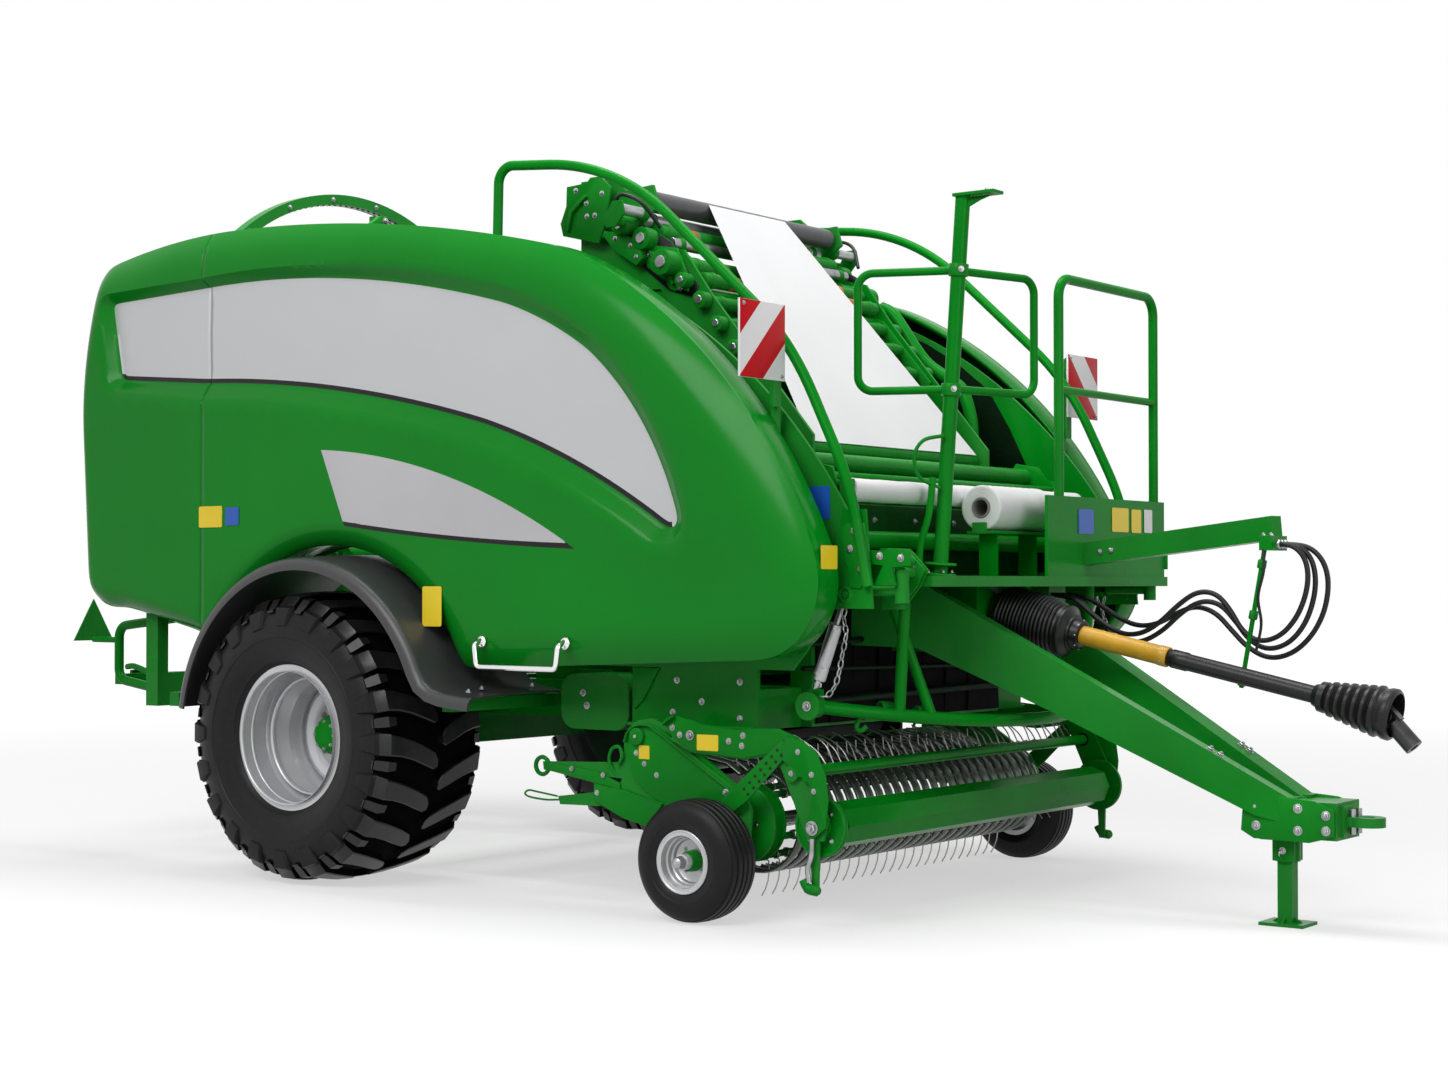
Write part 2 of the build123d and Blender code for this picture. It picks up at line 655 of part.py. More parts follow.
with BuildPart() as front_platform:
    block((2160, 2800), (-900, WALL_Y), (FLOOR_Z, PLATFORM_TOP))
    block((2770, 2785), (0, WALL_Y), (PLATFORM_TOP, 1600))
    block((2600, 2680), (200, 340), (1170, FLOOR_Z))
    for y in (WIDE_ROLL_Y[0] - CRADLE, WIDE_ROLL_Y[1]):
        cradle_x = (WIDE_ROLL_X - 30, WIDE_ROLL_X + 30)
        block(cradle_x, (y, y + CRADLE), (PLATFORM_TOP, WIDE_ROLL_Z + 40))
    bed = SPARE_ROLL_Z - SPARE_ROLL_R
    for y in (SPARE_ROLL_Y[0] + 60, SPARE_ROLL_Y[1] - 60 - CRADLE):
        block((2525, 2605), (y, y + CRADLE), (PLATFORM_TOP, bed - CRADLE))
    block((2505, 2625), SPARE_ROLL_Y, (bed - CRADLE, bed))
    for y in (SPARE_ROLL_Y[0] - CRADLE, SPARE_ROLL_Y[1]):
        block((2535, 2595), (y, y + CRADLE), (bed - CRADLE, bed + 32))

MAST_X = 2585.0
MAST_Y = -380.0
MAST_R = 29.0
MAST_TOP = 2740.0
MAST_RUNG_Z = (2460.0, 2000.0)
MAST_RUNG_R = 16.0

with BuildPart() as mast:
    bar((MAST_X - 67, MAST_Y, PLATFORM_TOP - 10), (MAST_X + 40, MAST_Y, MAST_TOP + 5), MAST_R)
    block((2450, 2700), (-450, -300), (PLATFORM_TOP - 60, PLATFORM_TOP), Mode.SUBTRACT)
    block((2450, 2790), (-450, -300), (MAST_TOP, MAST_TOP + 60), Mode.SUBTRACT)
    block((2600, 2780), (MAST_Y - 40, MAST_Y + 40), (MAST_TOP, MAST_TOP + 12))
    high, low = MAST_RUNG_Z
    for dx, dy, reach in ((-0.93, -0.365, 380), (0.26, 0.965, 440)):
        root = Vector(MAST_X, MAST_Y, 0)
        out = root + Vector(dx, dy, 0) * reach
        corners = [(root.X, root.Y, high), (out.X, out.Y, high), (out.X, out.Y, low), (root.X, root.Y, low)]
        pipe(corners, [60, 60], MAST_RUNG_R)

with BuildPart() as guard_rail:
    pipe(
        [(2745, 165, PLATFORM_TOP), (2745, 165, 2480), (2745, 1020, 2480), (2745, 1020, PLATFORM_TOP)],
        [80, 80],
        20,
    )
    cross_bar(2745, 2030, (170, 1015), 16)

with BuildPart() as wide_film_roll:
    cross_bar(WIDE_ROLL_X, WIDE_ROLL_Z, WIDE_ROLL_Y, WIDE_ROLL_R)

with BuildPart() as spare_film_roll:
    cross_bar(SPARE_ROLL_X, SPARE_ROLL_Z, SPARE_ROLL_Y, SPARE_ROLL_R)

# ---- drawbar ----
BEAM_ANGLE = 11.31

with BuildPart() as drawbar:
    heading = Vector(-1, 0, 0).rotate(Axis.Z, BEAM_ANGLE)
    stretch = -1 / heading.X
    profile = [
        (3990, 400),
        (3827, 468),
        (3137, 859),
        (2455, FLOOR_Z),
        (2100, FLOOR_Z),
        (2100, 1010),
        (2414, 1000),
        (2946, 765),
        (3692, 408),
        (3990, 340),
    ]
    plane = Plane(origin=(DRAW_TIP_X, -DRAW_TIP_Y, 0), x_dir=heading, z_dir=heading.cross(Vector(0, 0, 1)))
    with BuildSketch(plane):
        with BuildLine():
            Polyline(*[((DRAW_TIP_X - x) * stretch, z * plane.y_dir.Z) for x, z in profile], close=True)
        make_face()
    extrude(amount=BEAM_THICK / 2, both=True)
    mirror(about=Plane.XZ)
    block((TIP_REAR, TIP_FRONT), (-TIP_HALF, TIP_HALF), (TIP_BOTTOM, TIP_TOP))
    split(bisect_by=Plane.YZ.offset(BULKHEAD_FRONT), keep=Keep.TOP)
    split(bisect_by=Plane.YZ.offset(TIP_FRONT), keep=Keep.BOTTOM)
    block((JACK_X - JACK_PLATE, JACK_X + JACK_PLATE), (-JACK_PLATE, JACK_PLATE), (TIP_BOTTOM - 15, TIP_BOTTOM))
    bar((JACK_X, 0, JACK_SLEEVE_LOW), (JACK_X, 0, TIP_BOTTOM - 15), JACK_SLEEVE_R)
    hole = JACK_LEG / 2 + JACK_CLEARANCE
    block((JACK_X - hole, JACK_X + hole), (-hole, hole), (0, 1000), Mode.SUBTRACT)

with BuildPart() as jack_leg:
    leg = JACK_LEG / 2
    block((JACK_X - leg, JACK_X + leg), (-leg, leg), (JACK_FOOT, JACK_TOP))
    with Locations((JACK_X, 0, JACK_FOOT / 2)):
        Box(JACK_FOOT_LENGTH, JACK_FOOT_WIDTH, JACK_FOOT)

with BuildPart() as hitch_eye:
    middle = EYE_Z - EYE_THICK / 2
    bar((EYE_X, 0, middle), (EYE_X, 0, middle + EYE_THICK), EYE_OUTER_R)
    block((TIP_FRONT, EYE_X), (-45, 45), (middle, middle + EYE_THICK))
    block((TIP_FRONT, TIP_FRONT + 12), (-70, 70), (EYE_Z - 55, EYE_Z + 60))
    bar((EYE_X, 0, 300), (EYE_X, 0, 500), EYE_R, Mode.SUBTRACT)

# ---- hose arm ----
ARM_START = (2785.0, 330.0, 1370.0)
ARM_END = (3680.0, 130.0, 1460.0)

with BuildPart() as hose_arm:
    reach = Vector(*ARM_END) - Vector(*ARM_START)
    back = Vector(*ARM_START) - reach.normalized() * 40
    across = Vector(0, 0, 1).cross(reach)
    with BuildSketch(Plane(origin=back, x_dir=across, z_dir=reach)) as section:
        Rectangle(60, 90)
    extrude(section.sketch, amount=reach.length + 40)
    split(bisect_by=Plane.YZ.offset(ARM_START[0]), keep=Keep.TOP)
    block((3640, 3690), (55, 200), (1375, 1430))
    bar((3655, 72, 1380), (3560, 72, 860), 9)

# ---- front guard bar ----
with BuildPart() as front_guard_bar:
    with BuildLine() as bow:
        ThreePointArc(GUARD_END, GUARD_MIDDLE, (GUARD_END[0], -GUARD_END[1], GUARD_END[2]))
    with BuildSketch(Plane(origin=bow.line @ 0, z_dir=bow.line % 0)):
        Circle(GUARD_BAR_R)
    sweep(path=bow.line)
    post_low = bow.line @ 0.155
    bar(post_low, (post_low.X + 30, post_low.Y, FLOOR_Z + 10), 22)
    stay_low = bow.line @ 0.22
    bar(stay_low, (2450, -665, FLOOR_Z + 10), 20)
    hub_y = (GUARD_END[1] - GUARD_BAR_R, GUARD_END[1] + GUARD_BAR_R)
    cross_bar(GUARD_END[0], GUARD_END[2], hub_y, 45)
    block((2335, 2385), (SPRING_Y - 14, SPRING_Y + 14), (GUARD_END[2], SPRING_LOW))
    block((2300, 2800), (-1100, -300), (FLOOR_Z, FLOOR_Z + 50), Mode.SUBTRACT)
    mirror(about=Plane.XZ)

with BuildPart() as lift_springs:
    top = Vector(SPRING_EYE_X, SPRING_Y, SPRING_TOP + 20)
    low = Vector(GUARD_END[0], SPRING_Y, GUARD_END[2] + 40)
    way = (top - low).normalized()
    bar(low, top, SPRING_ROD_R)
    beside = (SPRING_Y - 30, SPRING_Y + 30)
    block((2300, 2550), beside, (SPRING_TOP, SPRING_TOP + 60), Mode.SUBTRACT)
    block((2300, 2550), beside, (SPRING_LOW - 60, SPRING_LOW), Mode.SUBTRACT)
    bar(low + way * 80, low + way * 280, SPRING_COIL_R)
    mirror(about=Plane.XZ)

# ---- power take-off ----
PTO_AXIS = Axis((2750, 0, 1090), (1, 0, -0.217))


def pto_turned(points, mode=Mode.ADD):
    """A body of revolution about the shaft line, from (distance along, radius) corners."""
    with BuildSketch(PTO_PLANE) as section:
        with BuildLine():
            Polyline(*points, close=True)
        make_face()
    revolve(section.sketch, axis=PTO_AXIS, mode=mode)


NOSE_FRONT = -150.0

with BuildPart() as gearbox:
    block((BULKHEAD_FRONT, 2560), (-170, 170), (980, FLOOR_Z))
    pto_turned([(-260, 0), (-260, 70), (NOSE_FRONT, 70), (NOSE_FRONT, 0)])
    pto_turned(
        [
            (NOSE_FRONT - 60, 0),
            (NOSE_FRONT - 60, PTO_SHAFT_R + RUNNING),
            (NOSE_FRONT + 1, PTO_SHAFT_R + RUNNING),
            (NOSE_FRONT + 1, 0),
        ],
        Mode.SUBTRACT,
    )

BOOT_FOLDS = 6
BOOT_LENGTH = 340.0

with BuildPart() as pto_boot:
    ridge = []
    for fold in range(BOOT_FOLDS):
        share = fold / (BOOT_FOLDS - 1)
        radius = 125 - 50 * share
        spot = NOSE_FRONT + 4 + share * (BOOT_LENGTH - 60)
        ridge += [(spot, radius - 14), (spot + 16, radius), (spot + 34, radius)]
    end = NOSE_FRONT + BOOT_LENGTH
    inside = [(end, 37.8), (end - 12, 37.8), (end - 30, 44), (NOSE_FRONT + 12, 88)]
    skirt = [(NOSE_FRONT + 12, 70 + SEAT_GAP), (NOSE_FRONT - 20, 70 + SEAT_GAP), (NOSE_FRONT - 20, 111)]
    pto_turned(ridge + [(end, 50)] + inside + skirt)

YELLOW_END = 563.0
BLACK_END = 1197.0
CONE_END = 1473.0

with BuildPart() as pto_tube:
    pto_turned([(100, 33), (100, 37.5), (YELLOW_END, 37.5), (YELLOW_END, 33)])
    pto_turned([(100, PTO_SHAFT_R + RUNNING), (100, 35), (130, 35), (130, PTO_SHAFT_R + RUNNING)])

with BuildPart() as pto_guard:
    pto_turned([(300, 28), (300, 32.7), (BLACK_END, 32.7), (BLACK_END, 28)])
    cone = [(BLACK_END - 20, 28), (BLACK_END - 20, 52), (CONE_END, 92), (CONE_END, 84), (BLACK_END + 20, 46)]
    pto_turned(cone + [(BLACK_END + 10, 28)])
    ring = PTO_SHAFT_R + RUNNING
    pto_turned([(BLACK_END - 20, ring), (BLACK_END - 20, 30), (BLACK_END + 5, 30), (BLACK_END + 5, ring)])

JOINT_CENTRE = 1415.0
YOKE_BEND = -35.0

with BuildPart() as pto_shaft:
    pto_turned([(NOSE_FRONT - 55, 0), (NOSE_FRONT - 55, PTO_SHAFT_R), (1330, PTO_SHAFT_R), (1330, 0)])
    pto_turned([(1320, 0), (1320, 34), (1365, 34), (1365, 0)])
    joint = PTO_PLANE.from_local_coords(Vector(JOINT_CENTRE, 0, 0))
    first = PTO_PLANE.x_dir
    for half in (-1, 1):
        with BuildSketch(Plane(origin=joint - first * 60, x_dir=(0, 1, 0), z_dir=first)) as ear:
            with Locations((half * 30, 0)):
                Rectangle(14, 44)
        extrude(ear.sketch, amount=80)
    bent = first.rotate(Axis.Y, -YOKE_BEND)
    across = bent.cross(Vector(0, 1, 0))
    for half in (-1, 1):
        with BuildSketch(Plane(origin=joint - bent * 18, x_dir=across, z_dir=bent)) as ear:
            with Locations((half * 30, 0)):
                Rectangle(14, 44)
        extrude(ear.sketch, amount=80)
    bar(joint - across * 36, joint + across * 36, 11)
    bar(joint - Vector(0, 36, 0), joint + Vector(0, 36, 0), 11)
    bar(joint + bent * 55, joint + bent * 165, 34)
    bar(joint + bent * 75, joint + bent * 170, PTO_BORE_R, Mode.SUBTRACT)

# ---- crop rotor housing ----
with BuildPart() as rotor_housing:
    with BuildSketch(Plane.XZ.offset(-RAIL_IN)):
        with Locations((1150, 730)):
            RectangleRounded(400, 220, 90)
    extrude(amount=2 * RAIL_IN)
    with BuildSketch(Plane.XZ.offset(RAIL_OUT)):
        with Locations((1275, 780)):
            RectangleRounded(350, 220, 70)
    extrude(amount=250)
    with BuildSketch(Plane.XZ.offset(-RAIL_OUT - 250)):
        with Locations((1275, 780)):
            RectangleRounded(350, 220, 70)
    extrude(amount=250)

# ---- pickup ----
with BuildPart() as pickup_frame:
    plate = [
        (1535, 630),
        (1555, 690),
        (1600, 725),
        (1675, 735),
        (1750, 705),
        (2101, 480),
        (2140, 410),
        (2130, 300),
        (2040, 265),
        (1930, GAUGE_R - 38.5),
        (1850, GAUGE_R - 18.5),
        (1650, 390),
        (1210, 380),
        (1200, 412),
        (1500, 452),
        (1525, 498),
        (1125, 512),
        (1120, 545),
        (1530, 560),
    ]
    side_plate(plate, SIDE_PLATE_Y, SIDE_PLATE)
    pivot_x, pivot_z = PICKUP_PIVOT
    cross_bar(GAUGE_X, GAUGE_R, (-GAUGE_Y - GAUGE_WIDTH / 2 - 6, -SIDE_PLATE_Y), 12.5)
    reach_y = -SIDE_PLATE_Y - SIDE_PLATE
    cross_bar(*GUARD_PIVOT, (reach_y - GUARD_PLATE - 12, reach_y), 20)
    side_plate([(1835, 640), (1835, 715), (1925, 715), (1925, 560), (1880, 560)], SIDE_PLATE_Y, SIDE_PLATE)
    cross_bar(pivot_x, pivot_z, (-1300, -1000), 25 + RUNNING, Mode.SUBTRACT)
    cross_bar(REEL_X, REEL_Z, (-1300, -1000), 25 + RUNNING, Mode.SUBTRACT)
    mirror(about=Plane.XZ)

BEAM_AT = (1680.0, 560.0)
REEL_HALF = (BAND_COUNT // 2) * BAND_PITCH

with BuildPart() as pickup_bands:
    with BuildSketch(Plane.XZ.offset(-BAND_WIDTH / 2)) as strip:
        with BuildLine():
            outer = CenterArc((REEL_X, REEL_Z), BAND_R, -110, 230)
            inner = CenterArc((REEL_X, REEL_Z), BAND_R - 5, -110, 230)
            tail_out = (BEAM_AT[0], BEAM_AT[1] + 35)
            tail_in = (BEAM_AT[0], BEAM_AT[1] + 28)
            Line(outer @ 0, inner @ 0)
            Polyline(outer @ 1, tail_out, tail_in, inner @ 1)
        make_face()
    with Locations(*[(0, (row - BAND_COUNT // 2) * BAND_PITCH, 0) for row in range(BAND_COUNT)]):
        add(extrude(strip.sketch, amount=BAND_WIDTH, mode=Mode.PRIVATE))
    cross_bar(*BEAM_AT, (-SIDE_PLATE_Y, SIDE_PLATE_Y), 45)

TINE_BARS = 5
TINE = 6.0

with BuildPart() as pickup_reel:
    cross_bar(REEL_X, REEL_Z, (-SIDE_PLATE_Y - 12, SIDE_PLATE_Y + 12), 25)
    for y in (-REEL_HALF - 120, REEL_HALF + 40):
        cross_bar(REEL_X, REEL_Z, (y, y + 80), 150)
    for turn in range(TINE_BARS):
        spoke = Vector(1, 0, 0).rotate(Axis.Y, 360 / TINE_BARS * turn + 20)
        foot = Vector(REEL_X, 0, REEL_Z) + spoke * 135
        cross_bar(foot.X, foot.Z, (-REEL_HALF - 50, REEL_HALF + 50), 14)
        rows = [(row + 0.5 - BAND_COUNT // 2) * BAND_PITCH for row in range(BAND_COUNT - 1)]
        with BuildSketch(Plane(origin=foot, x_dir=(0, 1, 0), z_dir=spoke)) as tines:
            with Locations(*[(y, 0) for y in rows]):
                Rectangle(TINE, TINE)
        extrude(tines.sketch, amount=TINE_R - 135)

with BuildPart() as wind_guard:
    arm = [
        (1785, 660),
        (1800, 705),
        (1865, 738),
        (1925, 722),
        (2100, 702),
        (2285, 716),
        (2365, 690),
        (2395, 610),
        (2500, 400),
        (2480, 320),
        (2410, 320),
        (2300, 560),
        (2270, 622),
        (2122, 600),
        (1875, 616),
    ]
    side_plate(arm, GUARD_PLATE_Y, GUARD_PLATE)
    side_plate([(2420, 330), (2460, 330), (2455, 130), (2430, 130)], GUARD_PLATE_Y, GUARD_PLATE)
    cross_bar(*GUARD_PIVOT, (-1300, -1000), 20 + RUNNING, Mode.SUBTRACT)
    cross_bar(CROP_X, CROP_Z, (-1300, -1000), 15 + RUNNING, Mode.SUBTRACT)
    mirror(about=Plane.XZ)
    cross_bar(2350, 560, (-GUARD_PLATE_Y, GUARD_PLATE_Y), 22)

with BuildPart() as crop_roller:
    with BuildSketch(Plane.XZ.offset(-1030)):
        with Locations((CROP_X, CROP_Z)):
            RegularPolygon(CROP_R, 8)
    extrude(amount=2060)
    cross_bar(CROP_X, CROP_Z, (-GUARD_PLATE_Y - 10, GUARD_PLATE_Y + 10), 15)
    for y in (-1092, 1080):
        cross_bar(CROP_X, CROP_Z, (y, y + 12), 111)

with BuildPart() as right_gauge_tyre:
    half = GAUGE_WIDTH / 2
    with BuildSketch(Plane(origin=(GAUGE_X, -GAUGE_Y, GAUGE_R), x_dir=(0, 1, 0), z_dir=(1, 0, 0))):
        with BuildLine():
            ThreePointArc((-half + 30, GAUGE_R - 9), (0, GAUGE_R), (half - 30, GAUGE_R - 9))
            ThreePointArc((half - 30, GAUGE_R - 9), (half, GAUGE_R - 60), (half - 20, 118))
            Polyline((half - 20, 118), (half - 20, 105), (-half + 20, 105), (-half + 20, 118))
            ThreePointArc((-half + 20, 118), (-half, GAUGE_R - 60), (-half + 30, GAUGE_R - 9))
        make_face()
    revolve(axis=Axis((GAUGE_X, 0, GAUGE_R), (0, 1, 0)))

with BuildPart() as right_gauge_rim:
    bore = 12.5 + RUNNING
    half = GAUGE_WIDTH / 2
    rim = [
        (-half + 12, 118),
        (-half + 19.7, 118),
        (-half + 19.7, 105 - SEAT_GAP),
        (half - 19.7, 105 - SEAT_GAP),
        (half - 19.7, 118),
        (half - 12, 118),
        (half - 12, 98),
        (10, 98),
        (10, 30),
        (90, 30),
        (90, bore),
        (-70, bore),
        (-70, 30),
        (2, 30),
        (2, 98),
        (-half + 12, 98),
    ]
    turned([(-GAUGE_Y - y, r) for y, r in rim], (GAUGE_X, GAUGE_R))

# ---- hoses from the arm's end ----
# Each hose's route: (x, y, z) points from the port block to the clamp on the arm.
HOSES = {
    "hose_front": [
        (2680, 222, 1205),
        (2770, 222, 1205),
        (2885, 214, 1112),
        (2995, 198, 1052),
        (3100, 165, 1052),
        (3190, 150, 1098),
        (3270, 146, 1170),
        (3350, 144, 1222),
        (3430, 142, 1215),
        (3490, 138, 1150),
        (3535, 132, 1075),
        (3605, 126, 1030),
        (3690, 122, 1050),
        (3755, 120, 1115),
        (3795, 118, 1200),
        (3808, 118, 1280),
        (3795, 118, 1345),
        (3760, 118, 1385),
        (3722, 118, 1398),
        (3690, 118, 1398),
    ],
    "hose_back": [
        (2680, 267, 1205),
        (2762, 267, 1205),
        (2868, 256, 1108),
        (2985, 214, 1018),
        (3095, 186, 1020),
        (3190, 176, 1066),
        (3268, 174, 1138),
        (3350, 172, 1186),
        (3432, 170, 1176),
        (3498, 166, 1108),
        (3550, 160, 1040),
        (3625, 154, 1000),
        (3712, 150, 1022),
        (3778, 148, 1092),
        (3815, 148, 1185),
        (3825, 148, 1272),
        (3808, 148, 1345),
        (3768, 148, 1386),
        (3726, 148, 1398),
        (3690, 148, 1398),
    ],
    "hose_loop": [
        (2680, 312, 1205),
        (2765, 312, 1205),
        (2860, 300, 1165),
        (2955, 275, 1112),
        (3050, 248, 1082),
        (3145, 232, 1092),
        (3230, 222, 1138),
        (3315, 214, 1166),
        (3398, 208, 1140),
        (3462, 204, 1075),
        (3530, 198, 1008),
        (3618, 192, 965),
        (3712, 188, 985),
        (3790, 184, 1050),
        (3842, 182, 1140),
        (3862, 180, 1240),
        (3850, 178, 1320),
        (3808, 178, 1375),
        (3750, 178, 1398),
        (3690, 178, 1398),
    ],
}
HOSE_DIAMETER = 20.0

HOSE_SOLIDS = {}
for name, points in HOSES.items():
    legs = [Vector(*end) - Vector(*start) for start, end in zip(points, points[1:])]
    radii = []
    for before, after in zip(legs, legs[1:]):
        turn = radians(before.get_angle(after))
        radii.append(0.45 * min(before.length, after.length) / tan(turn / 2))
    print(name, "radii", [round(radius) for radius in radii])
    with BuildPart() as hose:
        pipe(points, radii, HOSE_DIAMETER / 2)
    HOSE_SOLIDS[name] = hose

# ---- pieces on the left that mirror the right ----
TWINS = {
    "tyre": right_tyre,
    "rim": right_rim,
    "hub": right_hub,
    "door": right_door,
    "handle": right_handle,
    "gauge_tyre": right_gauge_tyre,
    "gauge_rim": right_gauge_rim,
}

PIECES = {
    "axle_beam": axle_beam,
    "main_frame": main_frame,
    "fenders": fenders,
    "rear_shells": rear_shells,
    "chamber_sides": chamber_sides,
    "chamber_rollers": chamber_rollers,
    "inner_walls": inner_walls,
    "wrap_ring": wrap_ring,
    "film_dispensers": film_dispensers,
    "dispenser_film": dispenser_film,
    "ring_carrier": ring_carrier,
    "wrap_table": wrap_table,
    "tail_frame": tail_frame,
    "reflectors": reflectors,
    "hoops": hoops,
    "marker_boards": marker_boards,
    "film_frame": film_frame,
    "web_rollers": web_rollers,
    "film_web": film_web,
    "front_platform": front_platform,
    "mast": mast,
    "guard_rail": guard_rail,
    "wide_film_roll": wide_film_roll,
    "spare_film_roll": spare_film_roll,
    "drawbar": drawbar,
    "jack_leg": jack_leg,
    "hitch_eye": hitch_eye,
    "hose_arm": hose_arm,
    "front_guard_bar": front_guard_bar,
    "lift_springs": lift_springs,
    "gearbox": gearbox,
    "pto_boot": pto_boot,
    "pto_tube": pto_tube,
    "pto_guard": pto_guard,
    "pto_shaft": pto_shaft,
    "rotor_housing": rotor_housing,
    "pickup_frame": pickup_frame,
    "pickup_bands": pickup_bands,
    "pickup_reel": pickup_reel,
    "wind_guard": wind_guard,
    "crop_roller": crop_roller,
}

for name, piece in TWINS.items():
    with BuildPart() as twin:
        add(piece.part)
        mirror(about=Plane.XZ, mode=Mode.REPLACE)
    PIECES["right_" + name] = piece
    PIECES["left_" + name] = twin
PIECES.update(HOSE_SOLIDS)

# The origin moves from the axle to the middle of the length.
rear = min(piece.part.bounding_box().min.X for piece in PIECES.values())
front = max(piece.part.bounding_box().max.X for piece in PIECES.values())
print("axle to middle", round((rear + front) / 2, 3))

os.makedirs("parts", exist_ok=True)
for name, piece in PIECES.items():
    moved = piece.part.moved(Location((-(rear + front) / 2, 0, 0)))
    moved.label = name
    export_step(moved, f"parts/{name}.step")
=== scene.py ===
import bpy, bmesh, json, math
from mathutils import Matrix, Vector, geometry, kdtree


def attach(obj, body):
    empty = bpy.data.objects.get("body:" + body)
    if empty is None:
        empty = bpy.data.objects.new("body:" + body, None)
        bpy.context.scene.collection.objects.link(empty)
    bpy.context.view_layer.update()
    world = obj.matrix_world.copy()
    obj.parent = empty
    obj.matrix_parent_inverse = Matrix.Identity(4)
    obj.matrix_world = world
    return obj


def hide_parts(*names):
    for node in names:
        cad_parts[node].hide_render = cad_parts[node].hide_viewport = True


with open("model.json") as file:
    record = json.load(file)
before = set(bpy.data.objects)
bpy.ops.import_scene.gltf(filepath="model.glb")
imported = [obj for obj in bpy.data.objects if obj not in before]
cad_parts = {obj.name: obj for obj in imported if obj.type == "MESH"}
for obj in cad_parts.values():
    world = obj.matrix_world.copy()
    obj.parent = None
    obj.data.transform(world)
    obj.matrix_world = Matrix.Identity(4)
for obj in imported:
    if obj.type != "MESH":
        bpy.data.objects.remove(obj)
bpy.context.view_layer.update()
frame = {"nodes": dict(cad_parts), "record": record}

# Metres. Places are (x, y, z) from the axle, the machine's middle and the ground;
# MIDDLE is how far the row frame's origin is ahead of the axle.
MIDDLE = 1.227399
PIXELS_X = 1448
FOCAL_PIXELS = 2273.874
SENSOR = 36
CAMERA_AT = (7.07951, -7.95305, 1.250295)
CAMERA_PITCH, CAMERA_YAW = 0.0179219, 0.636758
SIDES = (("right", -1), ("left", 1))
OUT, RIGHT, UP, AHEAD, BACK = (0, 1, 0), (0, -1, 0), (0, 0, 1), (1, 0, 0), (-1, 0, 0)
ACROSS = Vector((0, 1, 0))
scene = bpy.context.scene
NODES = frame["nodes"]


def place(x, y, z):
    """A point measured from the axle, in the row frame."""
    return Vector((x - MIDDLE, y, z))


def circle(count, radius=1.0, start=0.0):
    """Evenly spaced points of a circle, as pairs."""
    turns = (start + 2 * math.pi * k / count for k in range(count))
    return [(radius * math.cos(t), radius * math.sin(t)) for t in turns]


# ---- camera ----
camera_data = bpy.data.cameras.new("camera")
camera_data.lens = SENSOR * FOCAL_PIXELS / PIXELS_X
camera_data.sensor_width = SENSOR
camera_data.sensor_fit = "HORIZONTAL"
camera_data.clip_end = 100
camera = bpy.data.objects.new("camera", camera_data)
scene.collection.objects.link(camera)
camera.location = place(*CAMERA_AT)
camera.rotation_euler = (math.pi / 2 + CAMERA_PITCH, 0, CAMERA_YAW)
scene.camera = camera
scene.view_settings.view_transform = "Standard"


# ---- materials ----
def node(tree, kind, values={}, links={}, **settings):
    """A new shader node with its settings, its sockets' values and its incoming links."""
    made = tree.nodes.new("ShaderNode" + kind)
    for key, value in settings.items():
        setattr(made, key, value)
    for key, value in values.items():
        made.inputs[key].default_value = value
    for key, source in links.items():
        tree.links.new(source, made.inputs[key])
    return made


def mixed(tree, factor, colour, other):
    """Colour turning into a second, fixed colour where factor is high."""
    return node(tree, "Mix", {"B": (*other, 1)}, {"Factor": factor, "A": colour},
                data_type="RGBA").outputs["Result"]


def material(name, colour, rough=0.4, metal=0.0, coat=0.0, vary=0.1, scale=3.0, bump=0.05, grain=180.0,
             dust=0.0, edge=0.0, shine=0.5, coat_rough=0.08):
    """A surface with cloudy colour and roughness, fine grain in its bump, and worn or dusty places."""
    m = bpy.data.materials.new(name)
    m.use_nodes = True
    tree = m.node_tree
    shader = tree.nodes["Principled BSDF"]
    for socket, value in (("Metallic", metal), ("Coat Weight", coat), ("Coat Roughness", coat_rough),
                          ("Specular IOR Level", shine)):
        shader.inputs[socket].default_value = value
    where = node(tree, "TexCoord").outputs["Object"]
    cloud = node(tree, "TexNoise", {"Scale": scale, "Detail": 5}, {"Vector": where}).outputs["Fac"]
    ramp = node(tree, "ValToRGB", {}, {"Fac": cloud})
    for stop, spot, share in zip(ramp.color_ramp.elements, (0.3, 0.7), (1 - vary, 1 + vary)):
        stop.position = spot
        stop.color = [min(1, c * share) for c in colour] + [1]
    base = ramp.outputs["Color"]
    if edge:
        worn = node(tree, "MapRange", {"From Min": 0.52, "From Max": 0.62, "To Max": edge},
                    {"Value": node(tree, "NewGeometry").outputs["Pointiness"]})
        base = mixed(tree, worn.outputs["Result"], base, (0.16, 0.42, 0.18))
    if dust:
        speck = node(tree, "TexNoise", {"Scale": scale * 9, "Detail": 8}, {"Vector": where})
        amount = node(tree, "MapRange", {"From Min": 0.55, "From Max": 0.8, "To Max": dust},
                      {"Value": speck.outputs["Fac"]})
        base = mixed(tree, amount.outputs["Result"], base, (0.3, 0.26, 0.2))
    tree.links.new(base, shader.inputs["Base Color"])
    roughness = node(tree, "MapRange", {"To Min": max(0.03, rough * 0.8), "To Max": min(1, rough * 1.25)},
                     {"Value": cloud})
    tree.links.new(roughness.outputs["Result"], shader.inputs["Roughness"])
    if bump:
        fine = node(tree, "TexNoise", {"Scale": grain, "Detail": 3}, {"Vector": where})
        lift = node(tree, "Bump", {"Strength": bump, "Distance": 0.002}, {"Height": fine.outputs["Fac"]})
        tree.links.new(lift.outputs["Normal"], shader.inputs["Normal"])
    return m


